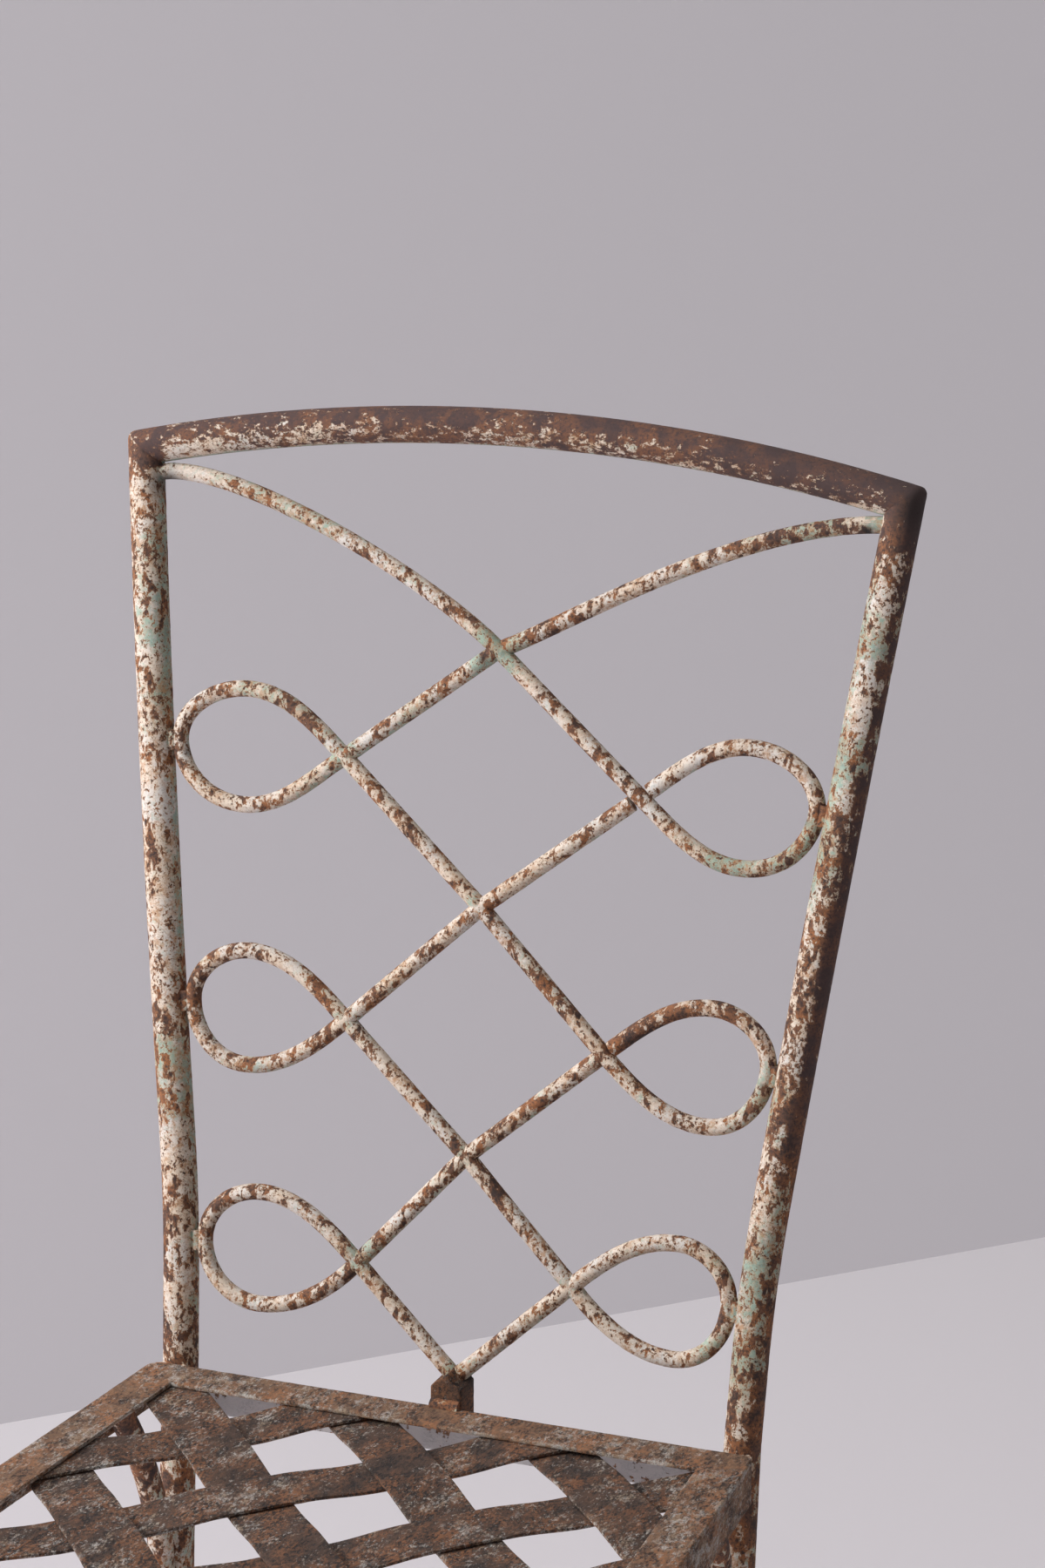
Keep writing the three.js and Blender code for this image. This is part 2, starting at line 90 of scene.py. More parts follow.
class ChairSizes(bpy.types.PropertyGroup):
    tube: length("Tube", "Diameter of the uprights, top rail and legs", 22)
    rod: length("Rod", "Diameter of the scroll rod", 10)
    brace: length("Brace", "Diameter of the braces under the seat", 16)
    angle_leg: length("Angle leg", "Width of each leg of the seat frame's angle", 28)
    angle_wall: length("Angle wall", "Thickness of the seat frame's angle", 3)
    strap_width: length("Strap width", "Width of the woven straps", 40)
    strap_thick: length("Strap thickness", "Thickness of the woven straps", 2.5)
    gap: length("Gap", "Clearance between pieces that touch", 0.3)
    seat_height: length("Seat height", "Height of the seat frame's top face", rear_edge.z / MM)
    seat_depth: length("Seat depth", "Depth of the seat frame", 400)
    seat_rear: length("Seat width at the rear", "Width of the seat frame at its rear edge", 390)
    seat_front: length("Seat width at the front", "Width of the seat frame at its front edge", 438)
    seat_corner: length("Seat corner", "Rounding of the seat frame's corners", 9)
    corner_height: length("Corner height", "Height of the top corners above the seat", 548)
    rail_rise: length("Rail rise", "How far the top rail arches above its corners", 26)
    back_rake: length("Back rake", "How far the back leans rearwards at its corners", 89)
    back_bow: length("Back bow", "How far the back bows forward at mid height", 7)
    corner_spacing: length("Corner spacing", "Width between the axes at the top corners", 480)
    upright_inset: length("Upright inset", "How far an upright is in from the seat's edge", 12.5)
    waist_height: length("Waist height", "Height at which the uprights start to spread", 95)
    waist_blend: length("Waist blend", "Half the length of the bend at the waist", 45)
    foot_sweep: length("Foot sweep", "Where the rear feet stand behind the seat frame", 10)
    loop_belly: length("Loop belly", "Distance from a loop's crossing to its fullest part", 65)
    loop_rise: length("Loop rise", "Half the height of a loop", 34.5)
    foot_apex: length("Foot apex", "Height of the scroll foot's top", 20)
    foot_width: length("Foot width", "Width of the scroll foot", 20)
    strap_pitch: length("Strap pitch", "Spacing of the straps", 94)
    strap_ease: length("Strap ease", "How far a strap lies flat past one it crosses", 2)
    first_right: length("First strap to the right", "Where it passes the rear edge", 44.7)
    first_left: length("First strap to the left", "Where it passes the rear edge", 33.5)
    strap_angle: FloatProperty(
        name="Strap angle",
        description="Angle of the straps from straight ahead",
        default=np.radians(42.5),
        unit="ROTATION",
        subtype="ANGLE",
    )
    sides: IntProperty(name="Sides", description="Facets round a tube", default=40, min=12)
    grain: length("Grain", "Spacing of the points along a piece", 1.8)
    pitting: length("Pitting", "Depth of the lumps that rust and old paint leave", 0.35)


class ChairColours(bpy.types.PropertyGroup):
    cream: colour("Cream", "Top coat of paint", 232, 221, 211)
    chalk: colour("Chalk", "Cooler, chalky places in the top coat", 214, 212, 210)
    cream_old: colour("Old cream", "Yellowed paint near rust", 222, 196, 166)
    stain: colour("Stain", "Rust that has soaked into the paint", 188, 138, 94)
    green: colour("Green", "Undercoat that shows through", 132, 174, 156)
    green_deep: colour("Deep green", "Undercoat in thin places", 78, 122, 108)
    rust_dark: colour("Dark rust", "Old, dense rust", 64, 50, 46)
    rust_brown: colour("Brown rust", "Usual rust", 114, 81, 65)
    rust_orange: colour("Orange rust", "Fresh rust and stains", 168, 109, 68)
    patina: colour("Patina", "Smooth worn rust on the top rail", 78, 61, 60)
    patina_brown: colour("Brown patina", "Browner places on the top rail", 96, 69, 60)
    crust_dark: colour("Dark crust", "Rough rust on the seat frame", 86, 66, 55)
    crust_light: colour("Light crust", "Rough rust on the seat frame", 138, 106, 82)
    strap_dark: colour("Dark strap", "Rust on the straps", 51, 41, 37)
    strap_brown: colour("Brown strap", "Rust on the straps", 88, 67, 55)
    # Painted shade: the near black laid in crevices and corners, and in the rust's hollows
    soot: colour("Soot", "Grime in the corners", 38, 33, 31)
    fleck: colour("Fleck", "Last flecks of paint on the seat", 196, 191, 184)
    fleck_warm: colour("Warm fleck", "Flecks stained by rust", 168, 148, 126)
    primer: colour("Primer", "Grey paint that holds on inside the seat frame", 196, 194, 196)
    floor: colour("Floor", "Floor of the stage", 242, 236, 240)
    wall: colour("Wall", "Wall of the stage", 225, 220, 225)
    floor_seen: colour("Floor as seen", "Tone that the floor is evened out to", 206, 201, 205)
    wall_seen: colour("Wall as seen", "Tone that the wall is evened out to", 188, 183, 188)


# Node trees


class Wire:
    """An output in a node tree. Arithmetic on it adds Math nodes."""

    def __init__(self, tree, socket=None):
        self.tree = tree
        self.socket = socket

    def node(self, kind, settings=None, inputs=None, output=0):
        """Adds a node, sets it up, feeds its sockets, and gives one of its outputs."""
        made = self.tree.nodes.new(kind)
        for name, value in (settings or {}).items():
            setattr(made, name, value)
        for key, value in (inputs or {}).items():
            if isinstance(value, Wire):
                self.tree.links.new(value.socket, made.inputs[key])
            else:
                made.inputs[key].default_value = value
        return Wire(self.tree, made.outputs[output])

    def math(self, operation, *values, clamp=False):
        settings = {"operation": operation, "use_clamp": clamp}
        return self.node("ShaderNodeMath", settings, dict(enumerate(values)))

    def __add__(self, other):
        return self.math("ADD", self, other)

    def __sub__(self, other):
        return self.math("SUBTRACT", self, other)

    def __rsub__(self, other):
        return self.math("SUBTRACT", other, self)

    def __mul__(self, other):
        return self.math("MULTIPLY", self, other)

    __radd__ = __add__
    __rmul__ = __mul__

    def over(self, threshold, edge):
        """Nought below a threshold and one above it, across an edge of that width."""
        return self.math("MULTIPLY_ADD", self - threshold, 1 / edge, 0.5, clamp=True)

    def blend(self, low, high):
        """One colour or another, by this value."""
        inputs = {0: self, 6: low, 7: high}
        return self.node("ShaderNodeMix", {"data_type": "RGBA"}, inputs, output=2)

    def stretched(self, by):
        """This place, multiplied along each axis."""
        return self.node("ShaderNodeVectorMath", {"operation": "MULTIPLY"}, {0: self, 1: by})

    def noise(self, size, seed, detail=2.0, roughness=0.5, twist=0.0):
        """Noise at this place, with lumps about so many millimetres apart."""
        values = {
            "Vector": self,
            "W": seed,
            "Scale": 1 / (size * MM),
            "Detail": detail,
            "Roughness": roughness,
            "Distortion": twist,
        }
        return self.node("ShaderNodeTexNoise", {"noise_dimensions": "4D"}, values)


def shader_start(owner):
    """An empty shader tree for a material or a world, to wire up."""
    owner.use_nodes = True
    owner.node_tree.nodes.clear()
    return Wire(owner.node_tree)


def shader_end(surface, kind="Material"):
    """Makes this the surface that a shader tree gives."""
    end = surface.tree.nodes.new(f"ShaderNodeOutput{kind}")
    surface.tree.links.new(surface.socket, end.inputs["Surface"])


# Geometry Nodes: bars swept along paths, and the lumps of rust on every surface


def tree_inputs(tree, *floats):
    """Gives a tree its output and its inputs: a geometry, these numbers and a finish."""
    kinds = {"Geometry": "Geometry", **dict.fromkeys(floats, "Float"), "Finish": "Material"}
    tree.interface.new_socket("Geometry", in_out="OUTPUT", socket_type="NodeSocketGeometry")
    for name, kind in kinds.items():
        tree.interface.new_socket(name, in_out="INPUT", socket_type=f"NodeSocket{kind}")
    source = tree.nodes.new("NodeGroupInput")
    return {name: Wire(tree, source.outputs[name]) for name in kinds}


def weathered(start, body, given):
    """Lumps and pits on a mesh, then its finish, as the end of a node tree."""
    place = start.node("GeometryNodeInputPosition")
    normal = start.node("GeometryNodeInputNormal")
    coarse = place.noise(9, 3.1, 2.0, 0.55) - 0.5
    fine = place.noise(3.2, 7.7, 1.0, 0.5) - 0.5
    depth = (coarse + fine * 0.6) * given["Pitting"]
    offset = start.node("ShaderNodeVectorMath", {"operation": "SCALE"}, {0: normal, "Scale": depth})
    body = start.node("GeometryNodeSetPosition", None, {"Geometry": body, "Offset": offset})
    body = start.node("GeometryNodeSetShadeSmooth", None, {0: body})
    finished = {"Geometry": body, "Material": given["Finish"]}
    body = start.node("GeometryNodeSetMaterial", None, finished)
    body = start.node("GeometryNodeRealizeInstances", None, {0: body})
    end = start.tree.nodes.new("NodeGroupOutput")
    start.tree.links.new(body.socket, end.inputs[0])


def bar_tree(flat):
    """Sweeps a round bar, or a flat strap with rounded edges, along the edges of a mesh."""
    tree = bpy.data.node_groups.new("strap" if flat else "bar", "GeometryNodeTree")
    given = tree_inputs(tree, "Width", "Thickness", "Sides", "Pitting")
    start = Wire(tree)
    girth = start.node("GeometryNodeInputNamedAttribute", {"data_type": "FLOAT"}, {"Name": "girth"})
    path = start.node("GeometryNodeMeshToCurve", None, {0: given["Geometry"]})
    path = start.node("GeometryNodeSetCurveRadius", None, {"Curve": path, "Radius": girth})
    if flat:
        path = start.node("GeometryNodeSetCurveNormal", {"mode": "Z_UP"}, {"Curve": path})
        sizes = {"Width": given["Width"], "Height": given["Thickness"]}
        section = start.node("GeometryNodeCurvePrimitiveQuadrilateral", None, sizes)
        arris = {"Curve": section, "Count": 2, "Radius": given["Thickness"] * 0.35}
        section = start.node("GeometryNodeFilletCurve", {"mode": "POLY"}, arris)
        spacing = {"Curve": section, "Length": given["Thickness"] * 0.5}
        section = start.node("GeometryNodeResampleCurve", {"mode": "LENGTH"}, spacing)
    else:
        sizes = {"Resolution": given["Sides"], "Radius": given["Width"] * 0.5}
        section = start.node("GeometryNodeCurvePrimitiveCircle", {"mode": "RADIUS"}, sizes)
    swept = {"Curve": path, "Profile Curve": section, "Fill Caps": True}
    body = start.node("GeometryNodeCurveToMesh", None, swept)
    weathered(start, body, given)
    return tree


def skin_tree():
    """Lumps and pits on a mesh that is already shaped."""
    tree = bpy.data.node_groups.new("skin", "GeometryNodeTree")
    given = tree_inputs(tree, "Pitting")
    weathered(Wire(tree), given["Geometry"], given)
    return tree


def node_tree(name):
    """The tree of that name, made when it is first asked for."""
    if name not in bpy.data.node_groups:
        return skin_tree() if name == "skin" else bar_tree(flat=name == "strap")
    return bpy.data.node_groups[name]


def grown(mesh, tree, settings):
    """The plain mesh that a node tree makes of a mesh."""
    source = bpy.data.objects.new("source", mesh)
    bpy.context.scene.collection.objects.link(source)
    modifier = source.modifiers.new("shape", "NODES")
    modifier.node_group = tree
    for item in tree.interface.items_tree:
        if item.item_type == "SOCKET" and item.in_out == "INPUT" and item.name in settings:
            modifier[item.identifier] = settings[item.name]
    depsgraph = bpy.context.evaluated_depsgraph_get()
    made = bpy.data.meshes.new_from_object(source.evaluated_get(depsgraph), depsgraph=depsgraph)
    bpy.data.objects.remove(source)
    bpy.data.meshes.remove(mesh)
    if not made.polygons:
        raise RuntimeError(f"the {tree.name} tree made no faces")
    return made


# Outlines of the chair


def unit(vector):
    return vector / np.linalg.norm(vector)


def curve_through(*corners, step=1.5):
    """Points along a cubic curve with these four control points, without its start."""
    start, leave, arrive, end = corners
    # A curve of the chair is at most 1.3 times as long as its chord
    count = 2 + int(np.linalg.norm(end - start) * 1.3 / step)
    t = np.linspace(0, 1, count)[1:, None]
    rest = 1 - t
    return rest**3 * start + 3 * rest**2 * t * leave + 3 * rest * t**2 * arrive + t**3 * end


def straight(start, end, step=1.5):
    count = max(2, int(np.linalg.norm(end - start) / step))
    return start + (end - start) * np.linspace(0, 1, count)[:, None]


class Outline:
    """Where the chair's parts lie, in millimetres.

    x is to the right, y rearwards from the seat frame, and h above the seat. Shapes of the back are
    drawn flat, as x and h, and are then laid on its leaning, bowed surface."""

    # Where the scrolls cross on the middle line, and beside it at the start of each loop
    centres = [np.array([0, h]) for h in (446, 295.5, 147.5)]
    knots = {
        -1: [np.array(p) for p in ((-94, 375.5), (-82.5, 219.5), (-67, 74))],
        1: [np.array(p) for p in ((95, 369), (83, 218), (71, 78.5))],
    }
    # First spans: slope at the start, its pull, slope on arrival, its pull
    spans = {-1: (-0.14, 50, 0.8, 63), 1: (0.06, 81, 0.46, 48)}
    # How much the uprights spread per millimetre of height, from the seat up
    splay = 0.035
    # How far a loop's control points reach: by its crossing, by its fullest part, and at its tip
    straightness, flatness, roundness = 0.42, 0.38, 0.5523
    # The sides of the seat frame, in order
    rails = ("left", "front", "right", "rear")

    def __init__(self, sizes):
        for name in ChairSizes.__annotations__:
            value = getattr(sizes, name)
            setattr(self, name, value if name in ("strap_angle", "sides") else value / MM)
        self.tube_radius = self.tube / 2
        self.rod_radius = self.rod / 2
        self.lean = (self.back_rake - 4 * self.back_bow) / self.corner_height
        behind = self.tube_radius * np.hypot(1, self.lean) + self.gap
        self.back_foot = behind + self.lean * self.angle_leg
        fall = self.foot_sweep - self.back_foot + self.lean * self.seat_height
        self.leg_sweep = fall / self.seat_height**2
        self.axis_at_seat = self.seat_rear / 2 - self.upright_inset
        half = self.corner_spacing / 2
        spread = half - self.axis_at_seat - self.splay * self.corner_height
        self.waist_slope = spread / (self.corner_height - self.waist_height)
        self.rail_radius = (half**2 + self.rail_rise**2) / (2 * self.rail_rise)
        self.rail_centre = self.corner_height + self.rail_rise - self.rail_radius
        self.taper = (self.seat_front - self.seat_rear) / 2 / self.seat_depth

    # The back's surface

    def depth(self, h):
        """How far behind the seat frame the back is, and the rear legs below it."""
        share = h / self.corner_height
        above = self.back_foot + self.back_rake * share - 4 * self.back_bow * share * (1 - share)
        return np.where(h < 0, self.back_foot + self.lean * h + self.leg_sweep * h * h, above)

    def on_back(self, flat):
        flat = np.atleast_2d(flat)
        return np.column_stack([flat[:, 0], self.depth(flat[:, 1]), flat[:, 1]])

    def axis(self, h):
        """How far an upright is from the middle: it bends at the waist."""
        away = np.asarray(h) - self.waist_height
        blend = (np.clip(away, -self.waist_blend, self.waist_blend) + self.waist_blend) ** 2
        bend = np.where(away > self.waist_blend, away, blend / (4 * self.waist_blend))
        return self.axis_at_seat + self.splay * np.maximum(h, 0) + self.waist_slope * bend

    def rail(self, x):
        return self.rail_centre + np.sqrt(self.rail_radius**2 - x**2)

    def mitre(self, side):
        """A top corner and the directions there: up the upright, and out along the rail."""
        half, tube = self.corner_spacing / 2, self.tube
        corner = self.on_back([side * half, self.corner_height])[0]
        low = self.corner_height - tube
        up = unit(corner - self.on_back([side * self.axis(low), low])[0])
        out = unit(corner - self.on_back([side * (half - tube), self.rail(half - tube)])[0])
        return corner, up, out

    # Scrolls

    def butt(self, crossing, along, bar, bar_radius=None):
        """Where a rod from a crossing starts, clear of the bar that runs through."""
        cosine = abs(along @ bar)
        clear = (bar_radius or self.rod_radius) + self.gap + self.rod_radius * cosine
        return crossing + along * (clear / np.sqrt(1 - cosine**2))

    def foot_angle(self, side):
        """How steeply the rod climbs from the foot's bevel to the lowest knot."""
        run = self.knots[side][2] - [0, self.foot_apex]
        beside = np.arcsin((self.rod_radius + self.gap) / np.hypot(*run))
        return np.arctan2(run[1], abs(run[0])) + beside

    def foot_bevel(self, side):
        angle = self.foot_angle(side)
        return np.array([side * np.sin(angle), -np.cos(angle)])

    def foot_end(self, side):
        angle = self.foot_angle(side)
        up_rod = np.array([side * np.cos(angle), np.sin(angle)])
        end = np.array([0, self.foot_apex]) + self.foot_bevel(side) * (self.rod_radius + self.gap)
        return end + up_rod * (self.gap + self.rod_radius * self.lean)

    def from_above(self, side, row):
        return unit(self.knots[side][row] - self.centres[row])

    def from_under(self, side, row):
        start = self.centres[row + 1] if row < 2 else self.foot_end(side)
        return unit(self.knots[side][row] - start)

    def loop(self, side, row, before=(), lead=None, after=()):
        """A rod that goes out from a knot along the loop's bottom and comes back along its top."""
        cross = self.knots[side][row]
        out, back = self.from_above(side, row), self.from_under(side, row)
        first = cross if len(before) or lead is not None else self.butt(cross, out, back)
        last = cross if len(after) else self.butt(cross, back, out)
        climb = unit(np.array([side * (self.axis(cross[1] + 1) - self.axis(cross[1])), 1.0]))
        clearance = (self.tube_radius + self.rod_radius + self.gap) / climb[1]
        tip = np.array([side * (self.axis(cross[1]) - clearance), cross[1]])
        belly = cross[0] + side * self.loop_belly
        bottom = np.array([belly, cross[1] - self.loop_rise])
        top = np.array([belly, cross[1] + self.loop_rise])
        handle = self.loop_belly * self.straightness
        across = np.array([side * abs(tip[0] - belly) * self.roundness, 0])
        along = climb * self.loop_rise * self.roundness
        flat = np.array([side * self.loop_belly * self.flatness, 0])
        runs = [lead] if lead is not None else []
        corners = [*before, first]
        runs += [straight(a, b)[:-1] for a, b in zip(corners, corners[1:])]
        if lead is not None:
            runs.append(straight(lead[-1], first)[1:-1])
        runs += [
            first[None],
            curve_through(first, cross + out * handle, bottom - flat, bottom),
            curve_through(bottom, bottom + across, tip - along, tip),
            curve_through(tip, tip + along, top + across, top),
            curve_through(top, top - flat, cross + back * handle, last),
        ]
        corners = [last, *after]
        runs += [straight(a, b)[1:] for a, b in zip(corners, corners[1:])]
        return np.vstack(runs)

    def first_span(self, side, end):
        """From under the rail at a top corner down to the first crossing."""
        start_slope, start_pull, arrival, arrival_pull = self.spans[side]
        slope = unit(np.array([-side, -start_slope]))
        arrive = unit(np.array([-side, -arrival]))
        low = self.corner_height - self.tube
        axis = self.axis(low)
        bar = unit(np.array([side * (self.axis(self.corner_height) - axis), self.tube]))
        inner = axis - self.tube_radius
        fall = self.rail(inner - 1) - self.rail(inner)
        clearance = self.tube_radius + self.rod_radius + self.gap
        under = self.rail(inner) - clearance * np.hypot(1, fall)
        on_axis = np.array([side * axis, under + start_slope * self.tube_radius])
        start = self.butt(on_axis, slope, bar, self.tube_radius)
        leave = start + slope * start_pull
        run = curve_through(start, leave, self.centres[0] - arrive * arrival_pull, end)
        return np.vstack([start, run])

    def scrolls(self):
        """Each length of scroll rod as flat points, by the name of its node."""
        centre, knot = self.centres, self.knots
        across_top = self.from_above(1, 0)
        across_middle = unit(knot[-1][1] - knot[1][0])
        across_low = unit(knot[-1][2] - knot[1][1])
        right_of_top = unit(np.array([1, self.spans[1][2]]))

        def end(from_, bar, to):
            return self.butt(from_, unit(to - from_), bar)

        def link(start, start_bar, stop, stop_bar):
            return straight(end(start, start_bar, stop), end(stop, stop_bar, start))

        under, above = self.from_under, self.from_above
        top_end = self.butt(centre[0], right_of_top, across_top)
        middle_start = end(knot[1][0], above(1, 0), centre[1])
        left_end = end(centre[1], across_middle, knot[-1][0])
        right_start = end(centre[1], across_middle, knot[1][1])
        centre_start = end(knot[1][1], above(1, 1), centre[2])
        centre_end = end(knot[-1][2], under(-1, 2), centre[2])
        through = [straight(centre_start, centre[2]), straight(centre[2], centre_end)[1:]]
        return {
            "scroll_loop_upper_right": self.loop(1, 0, lead=self.first_span(-1, centre[0])),
            "scroll_first_span_right": self.first_span(1, top_end),
            "scroll_link_upper_left": link(centre[0], across_top, knot[-1][0], under(-1, 0)),
            "scroll_loop_upper_left": self.loop(-1, 0, after=[left_end]),
            "scroll_loop_middle_left": self.loop(-1, 1, before=[middle_start, centre[1]]),
            "scroll_loop_middle_right": self.loop(1, 1, before=[right_start]),
            "scroll_link_middle_left": link(knot[-1][1], above(-1, 1), centre[2], across_low),
            "scroll_link_centre": np.vstack(through),
            "scroll_link_lower_right": link(centre[2], across_low, knot[1][2], under(1, 2)),
            "scroll_loop_lower_right": self.loop(1, 2, after=[self.foot_end(1)]),
            "scroll_loop_lower_left": self.loop(-1, 2, after=[self.foot_end(-1)]),
        }

    # Seat

    def inset_side(self, y, inset):
        return self.seat_rear / 2 - self.taper * y - inset * np.hypot(1, self.taper)

    def seat_corners(self, inset):
        """The seat frame's corners, set in: rear left, front left, front right, rear right."""
        rear, front = -inset, inset - self.seat_depth
        wide, narrow = self.inset_side(front, inset), self.inset_side(rear, inset)
        return np.array([[-narrow, rear], [-wide, front], [wide, front], [narrow, rear]])

    def strap_offset(self, family, i):
        """How far rearward of the seat's rear middle a strap's line passes, square to the strap."""
        return (self.first_right if family > 0 else self.first_left) - self.strap_pitch * i

    def strap_count(self, family):
        """How many straps of a family reach the seat, up to its front corner."""
        corner = self.seat_corners(self.angle_leg)[2]
        reach = corner @ [np.cos(self.strap_angle), -np.sin(self.strap_angle)]
        room = self.strap_offset(family, 0) + self.strap_width / 2 + reach
        return 1 + int(room // self.strap_pitch)

    def front_foot(self, side):
        corner = self.seat_corners(self.angle_wall + self.gap + self.tube_radius)[2]
        return np.array([side * corner[0], corner[1]])


def outline():
    return Outline(bpy.context.scene.chair_sizes)


def in_metres(points):
    """From the outlines' millimetres to the chair's own frame."""
    return np.atleast_2d(points) * MM + [0, rear_edge.y, rear_edge.z]


# Meshes


def path_mesh(lines):
    """Edges along paths, each a pair of points and girths, for the bar and strap trees."""
    points, edges, girths = [], [], []
    for line, girth in lines:
        first = sum(map(len, points))
        points.append(in_metres(line))
        edges += [(first + i, first + i + 1) for i in range(len(line) - 1)]
        girths.append(np.broadcast_to(girth, len(line)))
    mesh = bpy.data.meshes.new("path")
    mesh.from_pydata(np.vstack(points).tolist(), edges, [])
    write_values(mesh, "girth", np.concatenate(girths))
    return mesh


def write_values(mesh, name, values):
    """Gives each point of a mesh a value, for the node trees and the materials to read."""
    values = np.broadcast_to(values, len(mesh.vertices)).astype(np.float32)
    mesh.attributes.new(name, "FLOAT", "POINT").data.foreach_set("value", values)


@contextmanager
def edited(mesh):
    """A bmesh of a mesh, whose changes are written back with every face turned outwards."""
    work = bmesh.new()
    work.from_mesh(mesh)
    yield work
    bmesh.ops.recalc_face_normals(work, faces=work.faces)
    work.to_mesh(mesh)
    work.free()


def rounded_ends(line, radius, rounding=0.9):
    """A path whose girth falls away at both ends, as a sawn rod's rounded arris does."""
    runs = np.concatenate([[0], np.cumsum(np.linalg.norm(np.diff(line, axis=0), axis=1))])
    total = runs[-1]
    steps = rounding * (1 - np.cos(np.linspace(0, np.pi / 2, 4)))
    inner = runs[(runs > rounding * 1.5) & (runs < total - rounding * 1.5)]
    stations = np.concatenate([steps, inner, total - steps[::-1]])
    smooth = np.column_stack([np.interp(stations, runs, line[:, k]) for k in range(line.shape[1])])
    from_end = np.minimum(stations, total - stations)
    left = np.clip(1 - from_end / rounding, 0, 1)
    return smooth, 1 - rounding / radius * (1 - np.sqrt(1 - left**2))


def bar(lines, diameter, kind, sides=None, pitting=1.0):
    """Round bars along paths, in a finish of that kind."""
    sizes = bpy.context.scene.chair_sizes
    settings = {
        "Width": diameter * MM,
        "Sides": float(sides or sizes.sides),
        "Pitting": sizes.pitting * pitting,
        "Finish": finish(kind),
    }
    return grown(path_mesh(lines), node_tree("bar"), settings)


def cut(mesh, planes):
    """Cuts a mesh by planes, each a point in millimetres and the direction that is cut off."""
    with edited(mesh) as work:
        for place, away in planes:
            made = bmesh.ops.bisect_plane(
                work,
                geom=[*work.verts, *work.edges, *work.faces],
                plane_co=Vector(in_metres(place)[0]),
                plane_no=Vector(away),
                clear_outer=True,
            )
            rim = [e for e in made["geom_cut"] if isinstance(e, bmesh.types.BMEdge)]
            if rim:
                bmesh.ops.holes_fill(work, edges=rim)
    return mesh


def grid_mesh(rings):
    """A mesh of equal closed rings of points in millimetres, with a cap at each end."""
    mesh = bpy.data.meshes.new("grid")
    with edited(mesh) as work:
        rings = [[work.verts.new(p) for p in in_metres(ring)] for ring in rings]
        for here, there in zip(rings, rings[1:]):
            for j in range(len(here)):
                k = (j + 1) % len(here)
                work.faces.new([here[j], here[k], there[k], there[j]])
        work.faces.new(rings[0][::-1])
        work.faces.new(rings[-1])
        bmesh.ops.remove_doubles(work, verts=work.verts, dist=1e-6)
    return mesh


def skinned(mesh, kind, pitting):
    """A shaped mesh with lumps and pits, in a finish of that kind."""
    depth = bpy.context.scene.chair_sizes.pitting * pitting
    return grown(mesh, node_tree("skin"), {"Pitting": depth, "Finish": finish(kind)})


# Wear: how bare and green each place on the chair is, and where painted shade darkens it


def rise(value, low, high):
    """Nought up to one value and one from another, smoothly between."""
    t = np.clip((value - low) / (high - low), 0, 1)
    return t * t * (3 - 2 * t)


# Where paint is gone or thin, and where painted shade lies: x, h, how far across and how strong
BARE = [
    (225, 538, 5, -3.0), (213, 541, 4, -2.5), (-205, 540, 20, -0.5), (-150, 70, 60, -0.15),
    (150, 70, 60, -0.15), (145, 395, 40, -0.2), (-116, 393, 9, 0.6), (-176, 225, 18, 0.3),
    (110, 232, 26, 0.35), (150, 84, 30, 0.25), (0, 0, 14, 0.6), (-95, 52, 14, 0.3),
    (-238, 545, 12, 0.5), (232, 528, 24, 0.5),
]
GREEN = [
    (0, 446, 16, 2.8), (207, 150, 12, 2.2), (203, 118, 12, 2.2), (-204, 190, 14, 1.8),
    (222, 522, 8, 2.0), (190, 530, 14, 1.2), (-120, 400, 24, 1.2), (-60, 420, 30, 0.8),
    (150, 335, 14, 2.0), (-30, 150, 18, 1.2), (-140, 180, 20, 1.2), (-165, 510, 40, 1.2),
    (-120, 495, 30, 1.0), (185, 512, 34, 1.2), (196, 350, 26, 2.0), (185, 205, 20, 1.4),
    (-100, 352, 22, 1.2), (236, 470, 18, 1.4), (222, 405, 16, 1.8), (196, 60, 30, 1.6),
    (192, 105, 22, 1.8), (-196, 160, 20, 1.2), (60, 170, 22, 1.0), (-222, 450, 20, 1.2),
    (-212, 400, 14, 1.2), (-218, 492, 18, 1.0), (-64, 82, 16, 1.4), (30, 250, 20, 0.8),
    (-160, 418, 12, 1.2), (165, 45, 18, 1.0),
]
# Painted shade where the rods meet the uprights, the rail and each other, and on the right-hand
# corner's shaded side
SHADE_SPOTS = [
    (-222, 529, 9, 1.0), (220, 531, 3.5, 1.2), (247, 545, 12, 0.7), (-8, 441, 3, 0.9),
    (-196, 370, 3, 0.6), (-186, 215, 3, 0.6), (183, 213, 3, 0.6), (197, 366, 3, 0.6),
]


def places(spots, points):
    """How much each point has of what these places have, by its place on the back."""
    total = np.zeros(len(points))
    for x, h, reach, strength in spots:
        away = np.hypot(points[:, 0] - x, points[:, 2] - h) / reach
        total += strength * np.exp(-(away**2))
    return total


def dense(points, normals):
    """Where the rust is dark and smooth: the top corners, and the right upright's right side."""
    x, h, outward = points[:, 0], points[:, 2], normals[:, 0]
    side = rise(outward, 0.2, 0.7) * rise(h, 150, 220)
    return rise(h, 515, 545) * np.where(x > 150, 1, 0.4) + side * (x > 150)


# Just below the top of the seat frame
SEAT_TOP = -4


# Each look gives the wear and the green of places on a piece


def away_from_light(normals):
    """One on sides turned from the lamps, right, rear and below: green undercoat and painted shade.
    """
    return rise(normals @ unit([0.8, 0.45, -0.4]), 0.05, 0.7)


